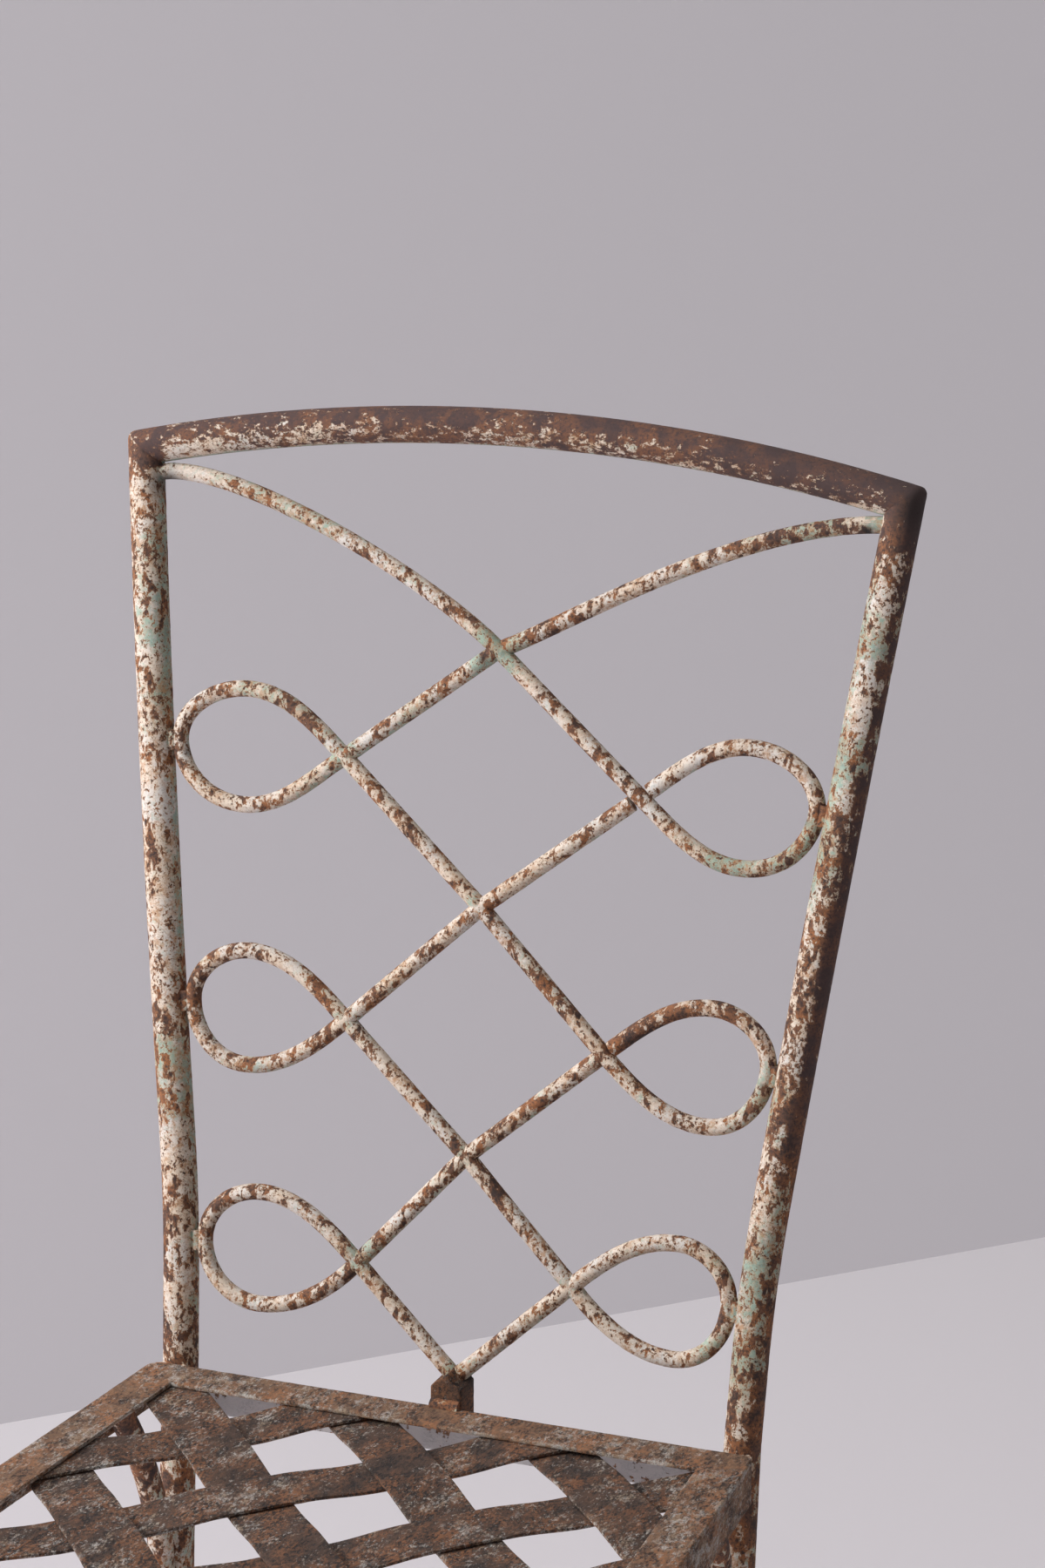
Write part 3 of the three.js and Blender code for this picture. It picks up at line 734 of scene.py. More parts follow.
def upright_look(points, normals):
    """Rust climbs from the seat, and takes the right-hand side of the right-hand upright."""
    x, h, outward = points[:, 0], points[:, 2], normals[:, 0]
    left = 0.38 + 0.2 * rise(-outward, 0.3, 0.8) + 0.18 * rise(h, 440, 520)
    right = 0.42 + 0.2 * (1 - rise(h, 270, 400)) - 0.2 * (1 - rise(h, 130, 220))
    right += 0.4 * rise(outward, 0.35, 0.9) + 0.6 * rise(h, 525, 545)
    right += 0.3 * rise(outward, 0.1, 0.6) * (1 - rise(h, 330, 430)) * rise(h, 150, 220)
    above = np.where(x < 0, left, right) + 0.35 * (1 - rise(h, 8, 70))
    wear = np.where(h < SEAT_TOP, below_seat(h), above)
    inner_right = (x > 0) * rise(-outward, 0.2, 0.8) * rise(h, 280, 360) * (1 - rise(h, 500, 530))
    # The green on the sides turned from the lamps is painted shade over the undercoat
    return wear, 1.3 * away_from_light(normals) + 0.3 * (h < SEAT_TOP) + inner_right


def rod_look(points, normals):
    """On the rods the green lies behind and below, turned from the lamps: undercoat and painted
    shade.
    """
    return 0.45, 0.9 * away_from_light(normals)


def below_seat(h):
    """Under the seat the paint goes at the top and at the feet."""
    return 0.35 + 0.55 * rise(h, -140, -10) + 0.45 * (1 - rise(h, -440, -330))


def leg_look(points, normals):
    """On the front legs and braces much of the undercoat shows, with more as painted shade away
    from the lamps.
    """
    return below_seat(points[:, 2]), 0.4 + 0.8 * away_from_light(normals)


def rail_look(points, normals):
    """On the top rail paint is left along the lower front edge, most of it at the left."""
    x = points[:, 0]
    low_front = rise(-normals[:, 1] * 0.5 - normals[:, 2] * 0.85, -0.35, 0.75)
    left = 1 - rise(x, -230, -40)
    under = rise(-normals[:, 2], 0.8, 0.97)
    return 1.3 - 0.5 * low_front - 0.25 * left - 0.4 * under, 0.3 * low_front + 2 * under


def seat_look(points, normals):
    """The seat frame holds flecks along its edges, and grey paint inside its rear wall."""
    y, h = points[:, 1], points[:, 2]
    inner = (normals[:, 1] < -0.6) & (y > -20) & (h < -3.5)
    edge = (h > -3.2) * (1 - rise(np.abs(normals[:, 2]), 0.6, 0.97))
    return 0.85 - 0.45 * edge, 1.0 * inner


def strap_look(points, normals):
    """Straps are bare, a little less so along their edges."""
    edge = 1 - rise(np.abs(normals[:, 2]), 0.5, 0.95)
    return 1.0 - 0.3 * edge, 0


def foot_look(points, normals):
    """The block is bare but for a patch in front."""
    patch = np.exp(-(np.hypot((points[:, 0] + 1) / 5, (points[:, 2] - 3) / 8) ** 2))
    return 1.1 - 0.9 * patch, 0


def weld_look(points, normals):
    """Welds are painted like the rods that they join."""
    return 0.55, 0.9


def finish_piece(name, mesh, nodes, slot, look):
    """Makes a finished mesh the piece that stands for some of the frame's nodes."""
    mesh.name = f"aged_{name}"
    mesh.set_sharp_from_angle(angle=np.radians(42))
    count = len(mesh.vertices)
    points, normals = np.zeros(count * 3), np.zeros(count * 3)
    mesh.vertices.foreach_get("co", points)
    mesh.vertex_normals.foreach_get("vector", normals)
    points = (points.reshape(-1, 3) - [0, rear_edge.y, rear_edge.z]) / MM
    normals = normals.reshape(-1, 3)
    wear, green = look(points, normals)
    values = {
        "wear": wear + places(BARE, points),
        # Green holds the undercoat, and painted shade on the sides turned from the lamps
        "green": green + (places(GREEN, points) if slot == "chipped_paint" else 0),
        "dense": dense(points, normals),
        "soot": places(SHADE_SPOTS, points),
    }
    for key, value in values.items():
        write_values(mesh, key, value)
    piece = bpy.data.objects.new(f"aged_{name}", mesh)
    bpy.context.scene.collection.objects.link(piece)
    for node in nodes:
        check_place(piece, node)
    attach(piece, "root")
    if nodes:
        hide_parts(*nodes)
    return piece


def check_place(piece, node, slack=3):
    """Stops if a piece isn't where its node is."""
    points = np.array([v.co for v in piece.data.vertices])
    low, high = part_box(node)
    off = max(np.abs(points.min(0) - low).max(), np.abs(points.max(0) - high).max()) / MM
    if off > slack:
        raise RuntimeError(f"{piece.name} is {off:.1f} mm off {node}")


# Finishes


class Finish:
    """A material in the making, with what every finish of the chair reads and how it ends."""

    def __init__(self, name):
        self.start = shader_start(bpy.data.materials.new(name))
        self.place = self.start.node("ShaderNodeTexCoord", output="Object")

    def layer(self, key):
        """What a piece's mesh says of wear, green, dense rust or painted shade in crevices."""
        return self.start.node("ShaderNodeAttribute", {"attribute_name": key}, output="Fac")

    def tint(self, key):
        """One of the chair's colours."""
        return (*getattr(bpy.context.scene.chair_colours, key), 1)

    def close(self, skin, roughness, height, depth):
        """Ends the material, with painted shade darkening its colour and a bump so many millimetres
        deep.
        """
        soot = self.layer("soot")
        skin = soot.math("MULTIPLY", soot, 0.9, clamp=True).blend(skin, self.tint("soot"))
        relief = {"Strength": 0.9, "Distance": depth * MM, "Height": height}
        bump = self.start.node("ShaderNodeBump", None, relief)
        inputs = {"Base Color": skin, "Roughness": roughness, "Normal": bump}
        shader_end(self.start.node("ShaderNodeBsdfPrincipled", None, inputs))


def old_paint(name, dark, brown, grain, stretch, patchy, glow):
    """A green undercoat and a pale top coat over rust, both gone where the wear is high."""
    made = Finish(name)
    place, tint = made.place, made.tint
    wear, green, dense = made.layer("wear"), made.layer("green"), made.layer("dense")

    # How far inside a chip a place is, below nought where the paint still holds
    broad = place.noise(44, 1.3, 1.0) - 0.5
    chip = place.stretched(stretch).noise(7 * grain, 2.7, 6.0, 0.66, 0.25)
    chip = chip - (0.63 - wear * 0.2 + broad * patchy)
    flake = place.noise(2.8 * grain, 4.4, 4.0, 0.7) - (0.615 - wear * 0.08)
    inside = chip.math("MAXIMUM", chip, flake)
    bare = inside.over(0, 0.022)
    lip = inside.over(-0.012, 0.03)
    near = inside.over(-0.04, 0.09)
    rim = 1 - inside.over(0.045, 0.07)

    # Rust: dark and brown, smooth where it is dense, and orange at the rims and in clouds
    mottle = place.noise(8, 11.5, 5.0, 0.7)
    crumbs = place.noise(2.0, 13.1, 4.0, 0.75)
    rust = (mottle * 0.5 + crumbs * 0.5).over(0.52, 0.1).blend(tint(dark), tint(brown))
    rust = (dense * 0.85).blend(rust, tint("patina"))
    clouds = place.noise(15, 12.4, 2.0).over(0.52, 0.12)
    fresh = crumbs.over(0.46, 0.16) * (rim * 0.6 + clouds * 0.6)
    rust = (fresh * (glow - dense * 0.6 * glow)).blend(rust, tint("rust_orange"))
    rust = ((1 - crumbs.over(0.41, 0.1)) * 0.5).blend(rust, tint("rust_dark"))

    # Undercoat, and the painted shade that the green layer carries
    ground = place.noise(17, 15.2, 3.0, 0.6)
    fine = place.noise(3.4, 16.6, 3.0, 0.6)
    under = (ground * 0.4 + fine * 0.6).over(0.5, 0.14).blend(tint("green_deep"), tint("green"))
    thin = (ground * 0.45 + fine * 0.55 + green * 0.15).over(0.64, 0.16) * 0.75

    # Top coat, worn thin, and stained round the chips and in runs
    cloud = place.noise(24, 17.9, 3.0, 0.6)
    pale = (cloud.over(0.53, 0.2) * 0.5).blend(tint("cream"), tint("cream_old"))
    pale = ((1 - cloud.over(0.45, 0.14)) * 0.6).blend(pale, tint("chalk"))
    pale = thin.blend(pale, under)
    pale = (near * 0.6).blend(pale, tint("cream_old"))
    runs = place.noise(5, 23.4, 5.0, 0.75).over(0.54, 0.1)
    runs = runs * place.noise(30, 25.1, 1.0).over(0.45, 0.2)
    stained = runs.math("MAXIMUM", runs * 0.75, lip * crumbs.over(0.42, 0.2))
    pale = stained.blend(pale, tint("stain"))
    grime = place.noise(0.9, 19.4, 2.0, 0.7).over(0.58, 0.1) * 0.35
    pale = grime.blend(pale, tint("rust_brown"))

    covered = 1 - bare
    height = covered * (1 - thin * 0.4) + crumbs * 0.5 + mottle * 0.3
    made.close(covered.blend(rust, pale), 0.86 - covered * 0.22 + grime * 0.3, height, 0.35)


def rough_rust(name, dark, light, glow, cloudy):
    """Old rough rust, orange in places, with the last flecks of paint in clusters."""
    made = Finish(name)
    tint, wear, primed = made.tint, made.layer("wear"), made.layer("green")
    place = made.place.stretched((1, 0.55, 1))

    mottle = place.noise(11, 31.5, 5.0, 0.7)
    crumbs = place.noise(1.7, 33.1, 3.0, 0.7)
    grit = place.noise(0.7, 34.2, 2.0, 0.6)
    tone = mottle * 0.45 + crumbs * 0.4 + grit * 0.15
    rust = tone.over(0.505, 0.13).blend(tint(dark), tint(light))
    warm = place.noise(22, 35.2, 4.0, 0.65).over(0.51, 0.16) * crumbs.over(0.5, 0.14)
    rust = (warm * glow).blend(rust, tint("rust_orange"))
    # Painted shade in the low places of the relief
    hollow = 1 - (crumbs * 0.5 + mottle * 0.5).over(0.44, 0.08)
    rust = (hollow * 0.7).blend(rust, tint("soot"))

    # Flecks and smears of paint, and the whole coat of it where a place is primed
    cluster = place.noise(20, 39.3, 3.0, 0.7) - 0.5
    flecks = place.noise(2.0, 41.9, 4.0, 0.75) - (0.43 + wear * 0.17 - cluster * 0.7)
    smears = place.noise(8, 43.4, 5.0, 0.75) - (0.46 + wear * 0.16 - cluster * 0.4)
    smears = smears.over(0, 0.1) * cloudy
    held = flecks.math("MAXIMUM", flecks.over(0, 0.12), smears) * grit.over(0.42, 0.3)
    spots = place.noise(12, 47.3, 5.0, 0.7).over(0.57, 0.03)
    held = held.math("MAXIMUM", held * (1 - primed), primed * (1 - spots))
    paint = place.noise(5, 45.2, 2.0).over(0.52, 0.14).blend(tint("fleck"), tint("fleck_warm"))
    paint = primed.blend(paint, tint("primer"))
    height = crumbs * 1.0 + mottle * 0.5 - hollow * 0.5 + held * 0.4
    made.close((held * 0.9).blend(rust, paint), 0.9 - held * 0.15, height, 0.5)


# How each kind of finish is made, with what settings and in which two tones of rust.
# Glow is how much orange the rust has, and stretch draws the chips out along a piece.
FINISHES = {
    "paint": (
        old_paint,
        {"grain": 0.8, "stretch": (1, 1, 0.6), "patchy": 0.22, "glow": 0.9},
        ("rust_dark", "rust_brown"),
    ),
    "rail": (
        old_paint,
        {"grain": 0.5, "stretch": (0.6, 1, 1), "patchy": 0.2, "glow": 0.7},
        ("patina", "patina_brown"),
    ),
    "seat": (rough_rust, {"glow": 0.6, "cloudy": 1.0}, ("crust_dark", "crust_light")),
    "strap": (rough_rust, {"glow": 0.45, "cloudy": 0.4}, ("strap_dark", "strap_brown")),
}


def finish(kind):
    """The material of that kind, made when it is first asked for."""
    name = f"aged_{kind}"
    if name not in bpy.data.materials:
        make, settings, tones = FINISHES[kind]
        make(name, *tones, **settings)
    return bpy.data.materials[name]


# Pieces


class ChairPiece(bpy.types.Operator):
    """Makes pieces of the chair, and can be undone"""

    bl_options = {"REGISTER", "UNDO"}


class CHAIR_OT_top_rail(ChairPiece):
    """Make the arched top rail, mitred onto the uprights"""

    bl_idname = "chair.top_rail"
    bl_label = "Top rail"

    past_corner = 20

    def execute(self, context):
        plan = outline()
        reach = plan.corner_spacing / 2 + self.past_corner
        x = np.arange(-reach, reach + 0.1, plan.grain)
        line = plan.on_back(np.column_stack([x, plan.rail(x)]))
        mesh = bar([(line, 1.0)], plan.tube, "rail", pitting=0.5)
        for side in SIDES.values():
            corner, up, out = plan.mitre(side)
            mesh = cut(mesh, [(corner, unit(out - up))])
            round_corner(mesh, corner, up, out, plan.tube_radius)
        finish_piece("top_rail", mesh, ["top_rail"], "rusted_rail", rail_look)
        return {"FINISHED"}


def round_corner(mesh, corner, up, out, radius, rounding=4.0):
    """Grinds the outer arris of a mitred corner."""
    across = unit(np.cross(up, out))
    rail_up = unit(up - out * (up @ out))
    post_out = unit(out - up * (up @ out))
    for vertex in mesh.vertices:
        place = (np.array(vertex.co) - [0, rear_edge.y, rear_edge.z]) / MM - corner
        if np.linalg.norm(place) > 4 * radius:
            continue
        half = np.sqrt(max(radius**2 - (place @ across) ** 2, 0.0))
        reach = max(half - rounding, 0.0)
        # How far out this place is past the rounding's centre, square to each tube
        over_rail, over_post = place @ rail_up - reach, place @ post_out - reach
        size, limit = np.hypot(over_rail, over_post), half - reach
        if over_rail > 0 and over_post > 0 and size > limit > 0:
            moved = (rail_up * over_rail + post_out * over_post) * (limit / size - 1)
            vertex.co = vertex.co + Vector(moved * MM)


class CHAIR_OT_uprights(ChairPiece):
    """Make the two uprights, which run on as the rear legs"""

    bl_idname = "chair.uprights"
    bl_label = "Uprights"

    def execute(self, context):
        plan = outline()
        # Past both ends, which are then cut
        h = np.arange(-plan.seat_height - 10, plan.corner_height + 20, plan.grain)
        for name, side in SIDES.items():
            line = plan.on_back(np.column_stack([side * plan.axis(h), h]))
            mesh = bar([(line, 1.0)], plan.tube, "paint")
            corner, up, out = plan.mitre(side)
            mesh = cut(mesh, [(corner, unit(up - out)), ([0, 0, -plan.seat_height], [0, 0, -1])])
            round_corner(mesh, corner, up, out, plan.tube_radius)
            node = f"upright_{name}"
            finish_piece(node, mesh, [node], "chipped_paint", upright_look)
        return {"FINISHED"}


class CHAIR_OT_scrolls(ChairPiece):
    """Make the lengths of bent rod that fill the back"""

    bl_idname = "chair.scrolls"
    bl_label = "Scrolls"

    def execute(self, context):
        plan = outline()
        for name, flat in plan.scrolls().items():
            path, girth = rounded_ends(plan.on_back(flat), plan.rod_radius)
            mesh = bar([(path, girth)], plan.rod, "paint", sides=24, pitting=0.8)
            finish_piece(name, mesh, [name], "chipped_paint", rod_look)
        return {"FINISHED"}


class CHAIR_OT_welds(ChairPiece):
    """Make the welds that join the rods, the uprights and the legs"""

    bl_idname = "chair.welds"
    bl_label = "Welds"

    # Cut ends that were never welded: the rod and which of its ends
    open_ends = {
        ("scroll_loop_upper_right", -1),
        ("scroll_loop_middle_right", -1),
        ("scroll_link_centre", 1),
        ("scroll_loop_middle_left", 0),
    }
    # Points along a weld on a tube, and along the one at the foot
    points, foot_points = 18, 14

    def execute(self, context):
        plan = outline()
        lines = [*self.rod_ends(plan), *self.loop_sides(plan), *self.seat_joints(plan)]
        mesh = bar(lines, plan.rod, "paint", sides=20, pitting=2.2)
        finish_piece("welds", mesh, [], "chipped_paint", weld_look)
        return {"FINISHED"}

    def rod_ends(self, plan):
        """Where a cut rod meets the one that runs through, and at the top corners and the foot."""
        for name, flat in plan.scrolls().items():
            for index, inner in ((0, 4), (-1, -5)):
                if (name, index) in self.open_ends:
                    continue
                end = flat[index]
                out = unit(end - flat[inner])
                at_corner = index == 0 and end[1] > plan.corner_height * 0.9
                # How far back it starts, how far on it goes in rod radii, and how much it swells
                start, reach, swell = (7, 1.5, 0.5) if at_corner else (4.5, 0.9, 0.3)
                line = straight(end - out * start, end + out * (plan.rod_radius * reach), 0.9)
                girth = 0.93 + swell * rise(np.linspace(0, 1, len(line)), 0.05, 0.8)
                yield plan.on_back(line), girth

    def loop_sides(self, plan):
        """Where a loop touches its upright."""
        for side, knots in plan.knots.items():
            for _, h in knots:
                heights = np.linspace(h - 6, h + 6, self.points)
                x = side * (plan.axis(heights) - plan.tube_radius - plan.gap)
                line = plan.on_back(np.column_stack([x, heights]))
                yield line, 0.04 + 0.14 * self.bulge(self.points)

    def seat_joints(self, plan):
        """Where the uprights and the foot meet the seat frame's rear."""
        behind = np.full(self.points, plan.gap)
        for side in SIDES.values():
            heights = np.linspace(2 - plan.angle_leg, -2, self.points)
            for across in (-1, 1):
                x = side * plan.axis(heights) + across * plan.tube_radius * 0.45
                yield np.column_stack([x, behind, heights]), 0.2 + 0.35 * self.bulge(self.points)
        reach, count = plan.foot_width / 2 - 1, self.foot_points
        line = np.column_stack([np.linspace(-reach, reach, count), behind[:count], [-0.4] * count])
        yield line, 0.15 + 0.25 * self.bulge(count)

    def bulge(self, count):
        """The girth along a weld that is thickest in the middle."""
        return np.sin(np.linspace(0, np.pi, count))


class CHAIR_OT_foot(ChairPiece):
    """Make the block that carries the feet of both scrolls"""

    bl_idname = "chair.foot"
    bl_label = "Scroll foot"

    # The block's underside, its worn arrises, and the longest edge of a facet
    low, worn, finest = -20.0, 1.3, 2

    def execute(self, context):
        mesh = skinned(self.block(outline()), "strap", 1.6)
        finish_piece("scroll_foot", mesh, ["scroll_foot"], "rusted_rail", foot_look)
        return {"FINISHED"}

    def block(self, plan):
        apex = np.array([0, plan.foot_apex])
        right, left = [apex + plan.foot_bevel(side) * (plan.rod + plan.gap) for side in (1, -1)]
        half, back = plan.foot_width / 2, plan.depth(plan.foot_apex) + plan.rod_radius
        corners = [(-half, self.low), (half, self.low), (half, right[1]), right, apex, left]
        corners += [(-half, left[1])]
        rings = [[(x, y, h) for x, h in corners] for y in (plan.gap, plan.gap + back)]
        mesh = bpy.data.meshes.new("foot")
        with edited(mesh) as work:
            front, rear = [[work.verts.new(p) for p in in_metres(ring)] for ring in rings]
            work.faces.new(front)
            work.faces.new(rear[::-1])
            for i in range(len(corners)):
                k = (i + 1) % len(corners)
                work.faces.new([front[k], front[i], rear[i], rear[k]])
            bmesh.ops.bevel(
                work,
                geom=work.edges[:],
                offset=self.worn * MM,
                segments=2,
                profile=0.5,
                affect="EDGES",
            )
            bmesh.ops.triangulate(work, faces=work.faces[:])
            for _ in range(3):
                long = [e for e in work.edges if e.calc_length() > self.finest * MM]
                bmesh.ops.subdivide_edges(work, edges=long, cuts=1)
                bmesh.ops.triangulate(work, faces=work.faces[:])
        return mesh


class CHAIR_OT_seat_frame(ChairPiece):
    """Make the four mitred lengths of angle round the seat"""

    bl_idname = "chair.seat_frame"
    bl_label = "Seat frame"

    def execute(self, context):
        plan = outline()
        section = angle_section(plan)
        for index, name in enumerate(plan.rails):
            mesh = skinned(angle_length(plan, section, index), "seat", 1.2)
            node = f"seat_rail_{name}"
            finish_piece(node, mesh, [node], "rusted_rail", seat_look)
        return {"FINISHED"}


def arc(centre, radius, start, stop, count=4):
    """Points along part of a circle, in degrees."""
    turn = np.radians(np.linspace(start, stop, count))
    return np.column_stack([centre[0] + radius * np.cos(turn), centre[1] + radius * np.sin(turn)])


def angle_section(plan, spacing=1.8):
    """The seat frame's section, as inset from the outer face and height, with worn arrises."""
    leg, wall = plan.angle_leg, plan.angle_wall
    worn, toe, root = 1.4, 1.1, 3.0
    corners = np.vstack(
        [
            arc((worn, -worn), worn, 180, 90),
            arc((leg - toe, -toe), toe, 90, 0, 3),
            arc((leg - toe, toe - wall), toe, 0, -90, 3),
            arc((wall + root, -wall - root), root, 90, 180),
            arc((wall - toe, toe - leg), toe, 0, -90, 3),
            arc((toe, toe - leg), toe, -90, -180, 3),
        ]
    )
    points = []
    for here, there in zip(corners, np.roll(corners, -1, axis=0)):
        count = max(1, round(np.linalg.norm(there - here) / spacing))
        points += [here + (there - here) * k / count for k in range(count)]
    return np.array(points)


def angle_length(plan, section, index):
    """One side of the seat frame, rounded and mitred at its ends."""
    both = [index, (index + 1) % 4]
    radius = plan.seat_corner
    start, stop = plan.seat_corners(0)[both]
    along = unit(stop - start)
    outward = np.array([along[1], -along[0]])
    if outward @ (start - plan.seat_corners(10)[index]) < 0:
        outward = -outward
    centres = plan.seat_corners(radius)[both]

    def at_corner(end, turn):
        """The section's ring at one end, turned by so much towards the mitre."""
        facing = outward * np.cos(turn) + (along if end else -along) * np.sin(turn)
        ring = []
        for inset, height in section:
            if inset < radius:
                flat = centres[end] + facing * (radius - inset)
            else:
                flat = plan.seat_corners(inset)[both[end]]
            ring.append((*flat, height))
        return np.array(ring)

    turns = np.radians(np.linspace(44.9, 0, 6))
    count = int(np.linalg.norm(centres[1] - centres[0]) / plan.grain)
    near, far = at_corner(0, 0), at_corner(1, 0)
    rings = [at_corner(0, turn) for turn in turns]
    rings += [near + (far - near) * (k / count) for k in range(1, count)]
    rings += [at_corner(1, turn) for turn in turns[::-1]]
    return grid_mesh(rings)


class CHAIR_OT_straps(ChairPiece):
    """Make the straps, woven over and under each other"""

    bl_idname = "chair.straps"
    bl_label = "Straps"

    def execute(self, context):
        plan = outline()
        for name, family in (("right", 1), ("left", -1)):
            for i in range(plan.strap_count(family)):
                node = f"strap_to_{name}_{i + 1}"
                finish_piece(node, strap(plan, family, i), [node], "rusted_strap", strap_look)
        return {"FINISHED"}


def strap(plan, family, i, reach=460):
    """One strap, high where it passes over another and low where it passes under."""
    angle = plan.strap_angle
    along = np.array([family * np.sin(angle), -np.cos(angle)])
    rearward = np.array([family * np.cos(angle), np.sin(angle)])
    middle = rearward * plan.strap_offset(family, i)
    top = -plan.angle_wall - plan.gap - plan.strap_thick / 2
    low = top - plan.strap_thick - plan.gap
    doubled = 2 * angle
    # How far the strap stays level on each side of a crossing
    flat = plan.strap_width / 2 * (1 + np.cos(doubled)) / np.sin(doubled) + plan.strap_ease
    stops, levels = [], []
    for j in range(plan.strap_count(-family)):
        other = plan.strap_offset(-family, j)
        at = -(other + plan.strap_offset(family, i) * np.cos(doubled)) / np.sin(doubled)
        over = ((i + j) % 2 == 0) == (family > 0)
        stops += [at - flat, at + flat]
        levels += [top if over else low] * 2
    s = np.arange(-reach, reach, plan.grain)
    stop, level = np.array(stops), np.array(levels)
    k = np.clip(np.searchsorted(stop, s), 1, len(stop) - 1)
    height = level[k - 1] + (level[k] - level[k - 1]) * rise(s, stop[k - 1], stop[k])
    line = np.column_stack([middle + along * s[:, None], height])
    sizes = bpy.context.scene.chair_sizes
    settings = {
        "Width": plan.strap_width * MM,
        "Thickness": plan.strap_thick * MM,
        "Pitting": sizes.pitting * 0.8,
        "Finish": finish("strap"),
    }
    mesh = grown(path_mesh([(line, 1.0)]), node_tree("strap"), settings)
    corners = plan.seat_corners(plan.angle_wall + plan.gap)
    planes = []
    for here, there in zip(corners, np.roll(corners, -1, axis=0)):
        run = unit(there - here)
        away = np.array([run[1], -run[0]])
        if away @ (corners.mean(0) - here) > 0:
            away = -away
        planes.append(((*here, 0), (*away, 0)))
    return cut(mesh, planes)


class CHAIR_OT_front_legs(ChairPiece):
    """Make the front legs"""

    bl_idname = "chair.front_legs"
    bl_label = "Front legs"

    def execute(self, context):
        plan = outline()
        top = -plan.angle_wall - plan.gap
        h = np.arange(-plan.seat_height, top, plan.grain)
        for name, side in SIDES.items():
            foot = plan.front_foot(side)
            line = np.column_stack([np.tile(foot, (len(h), 1)), h])
            path, girth = rounded_ends(line, plan.tube_radius)
            mesh = bar([(path, girth)], plan.tube, "paint")
            node = f"front_leg_{name}"
            finish_piece(node, mesh, [node], "chipped_paint", leg_look)
        return {"FINISHED"}


class CHAIR_OT_braces(ChairPiece):
    """Make the braces that curve from the legs up to the side rails"""

    bl_idname = "chair.braces"
    bl_label = "Braces"

    # How far a brace reaches from its leg and down it, and where its curve's control points are
    reach, drop = 80, 150
    knee, top_run, top_fall = 80, 24, 38

    def execute(self, context):
        plan = outline()
        for name, side in SIDES.items():
            for end, towards in (("rear", -1), ("front", 1)):
                self.make(plan, f"brace_{end}_{name}", side, towards)
        return {"FINISHED"}

    def make(self, plan, node, side, towards):
        radius = plan.brace / 2
        beside = np.array([0, towards * (plan.tube_radius + radius + plan.gap), 0])

        def leg(h):
            if towards > 0:
                return np.array([*plan.front_foot(side), h])
            return plan.on_back([side * plan.axis(h), h])[0]

        def wall(y, h):
            return np.array([side * plan.inset_side(y, plan.angle_wall + plan.gap + radius), y, h])

        top = leg(0)[1] + towards * self.reach
        corners = [
            wall(top, 0),
            wall(top - towards * self.top_run, -self.top_fall),
            leg(-self.knee) + beside,
            leg(-self.drop) + beside,
        ]
        run = np.vstack([corners[0], curve_through(*corners)])
        path, girth = rounded_ends(run, radius)
        mesh = bar([(path, girth)], plan.brace, "paint", sides=32)
        under = -plan.angle_wall - plan.gap * 3 - 2 * plan.strap_thick
        mesh = cut(mesh, [([0, 0, under], [0, 0, 1])])
        finish_piece(node, mesh, [node], "chipped_paint", leg_look)


def looked_at(start):
    """One for rays from the camera, also by way of metal or glass, and nought for other light."""
    names = ("Is Camera Ray", "Is Glossy Ray", "Is Transmission Ray")
    camera, *mirrored = [start.node("ShaderNodeLightPath", output=name) for name in names]
    return camera.math("MAXIMUM", camera, camera.math("MAXIMUM", *mirrored))


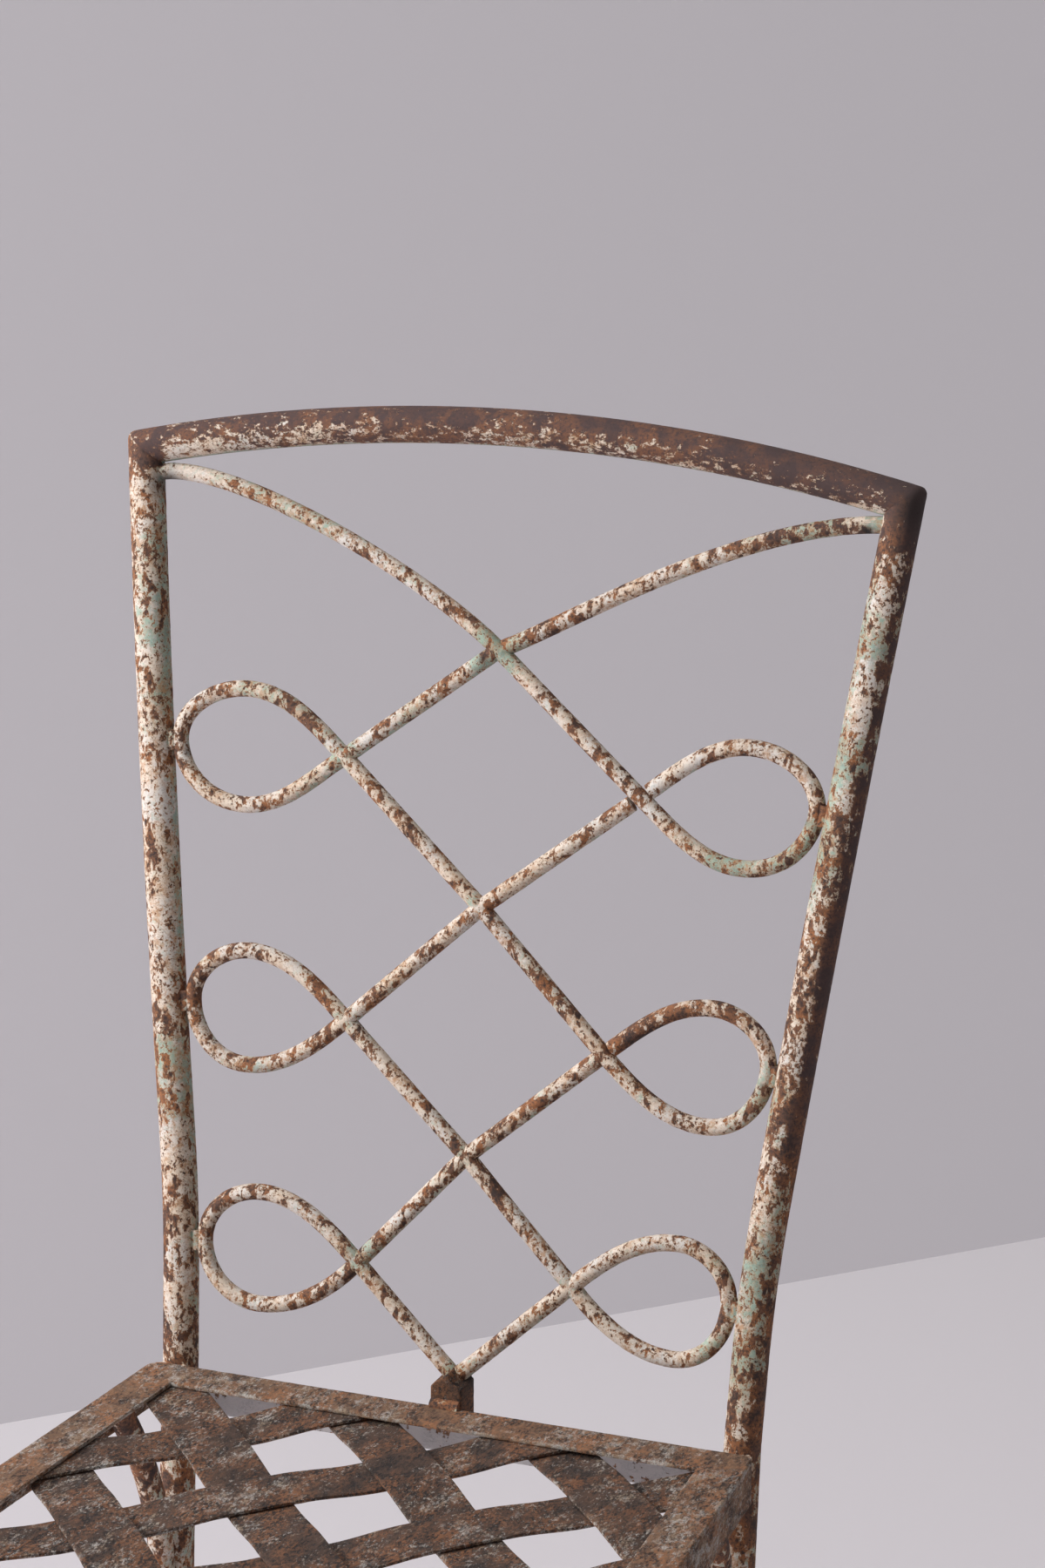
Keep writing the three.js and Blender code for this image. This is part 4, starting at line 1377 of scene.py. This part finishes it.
class CHAIR_OT_stage(bpy.types.Operator):
    """Make the floor, the wall, the lamps and the camera"""

    bl_idname = "chair.stage"
    bl_label = "Stage"

    # Where the camera stands in metres, which way it looks in degrees, and its lens
    place = (0.8868, -1.98665, 1.4118)
    azimuth, elevation, roll = 21.530, 14.195, 0.267
    lens = 94.92
    # Two places at the foot of the wall, and how far it and the floor go on
    wall_line = np.array([-0.749, 0.938]), np.array([-0.03, 1.729])
    reach, height = 8.0, 5.0
    # Each lamp's place, what it shines at, its size and its power in watts
    lamp_rig = {
        "key": ((-2.25, -1.49, 1.8), (0, 0, 0.75), 0.9, 66),
        "top": ((-1.2, -0.65, 3.1), (0, 0, 0.5), 1.6, 28),
    }
    fill = 0.2

    def execute(self, context):
        self.floor_and_wall(context.scene.chair_colours)
        self.sky(context)
        self.lamps(context)
        self.camera(context)
        context.scene.view_settings.view_transform = "Standard"
        return {"FINISHED"}

    def plane(self, name, corners, colour, seen, glow):
        mesh = bpy.data.meshes.new(name)
        mesh.from_pydata(corners, [], [range(len(corners))])
        mesh.materials.append(self.backdrop(name, colour, seen, glow))
        made = bpy.data.objects.new(name, mesh)
        bpy.context.scene.collection.objects.link(made)

    def backdrop(self, name, colour, seen, glow):
        """A matt surface, clear from behind, whose tone is evened out where it is looked at."""
        material = bpy.data.materials.new(name)
        start = shader_start(material)
        matt = start.node("ShaderNodeBsdfDiffuse", None, {"Color": (*colour, 1)})
        even = start.node("ShaderNodeEmission", None, {"Color": (*seen, 1), "Strength": 1.0})
        seen_share = looked_at(start) * glow
        surface = start.node("ShaderNodeMixShader", None, {0: seen_share, 1: matt, 2: even})
        behind = start.node("ShaderNodeNewGeometry", output="Backfacing")
        clear = start.node("ShaderNodeBsdfTransparent")
        shader_end(start.node("ShaderNodeMixShader", None, {0: behind, 1: surface, 2: clear}))
        return material

    def floor_and_wall(self, colours):
        square = (-1, -1), (1, -1), (1, 1), (-1, 1)
        around = [(x * self.reach, y * self.reach, 0) for x, y in square]
        self.plane("floor", around, colours.floor, colours.floor_seen, 0.5)
        start, end = self.wall_line
        run = unit(end - start)
        near, far = start - run * self.reach, end + run * self.reach
        corners = [(*near, 0), (*far, 0), (*far, self.height), (*near, self.height)]
        self.plane("wall", corners, colours.wall, colours.wall_seen, 0.6)

    def sky(self, context):
        """A dim white fill, in the wall's tone where it is looked at."""
        world = bpy.data.worlds.new("studio")
        start = shader_start(world)
        white, pale = (1, 1, 1, 1), (*context.scene.chair_colours.wall_seen, 1)
        fill = start.node("ShaderNodeBackground", None, {"Color": white, "Strength": self.fill})
        seen = start.node("ShaderNodeBackground", None, {"Color": pale, "Strength": 1.0})
        sky = start.node("ShaderNodeMixShader", None, {0: looked_at(start), 1: fill, 2: seen})
        shader_end(sky, "World")
        context.scene.world = world

    def lamps(self, context):
        for name, (place, target, size, power) in self.lamp_rig.items():
            light = bpy.data.lights.new(name, "AREA")
            light.shape = "DISK"
            light.size = size
            light.energy = power
            lamp = bpy.data.objects.new(name, light)
            lamp.location = place
            lamp.rotation_mode = "QUATERNION"
            lamp.rotation_quaternion = (Vector(target) - Vector(place)).to_track_quat("-Z", "Y")
            context.scene.collection.objects.link(lamp)

    def camera(self, context):
        a, e, r = np.radians([self.azimuth, self.elevation, self.roll])
        right = np.array([np.cos(a), np.sin(a), 0])
        back = np.array([np.sin(a) * np.cos(e), -np.cos(a) * np.cos(e), np.sin(e)])
        up = np.cross(back, right)
        rolled = np.cos(r) * right + np.sin(r) * up, np.cos(r) * up - np.sin(r) * right
        axes = np.column_stack([*rolled, back])
        lens = bpy.data.cameras.new("camera")
        lens.lens = self.lens
        lens.sensor_width = 36
        made = bpy.data.objects.new("camera", lens)
        made.matrix_world = Matrix.Translation(self.place) @ Matrix(axes.tolist()).to_4x4()
        context.scene.collection.objects.link(made)
        context.scene.camera = made


class CHAIR_PT_panel(bpy.types.Panel):
    """Lists the chair's pieces and its sizes"""

    bl_label = "Garden Chair"
    bl_space_type = "VIEW_3D"
    bl_region_type = "UI"
    bl_category = "Chair"

    def draw(self, context):
        for operator in PIECES:
            self.layout.operator(operator.bl_idname)
        for group in (context.scene.chair_sizes, context.scene.chair_colours):
            for name in type(group).__annotations__:
                self.layout.prop(group, name)


PIECES = [
    CHAIR_OT_top_rail,
    CHAIR_OT_uprights,
    CHAIR_OT_scrolls,
    CHAIR_OT_welds,
    CHAIR_OT_foot,
    CHAIR_OT_seat_frame,
    CHAIR_OT_straps,
    CHAIR_OT_front_legs,
    CHAIR_OT_braces,
    CHAIR_OT_stage,
]
CLASSES = [ChairSizes, ChairColours, *PIECES, CHAIR_PT_panel]


def register():
    for cls in CLASSES:
        bpy.utils.register_class(cls)
    bpy.types.Scene.chair_sizes = PointerProperty(type=ChairSizes)
    bpy.types.Scene.chair_colours = PointerProperty(type=ChairColours)


def unregister():
    del bpy.types.Scene.chair_sizes
    del bpy.types.Scene.chair_colours
    for cls in reversed(CLASSES):
        bpy.utils.unregister_class(cls)


def main():
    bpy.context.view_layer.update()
    register()
    for operator in PIECES:
        group, name = operator.bl_idname.split(".")
        getattr(getattr(bpy.ops, group), name)()


if __name__ == "__main__":
    main()
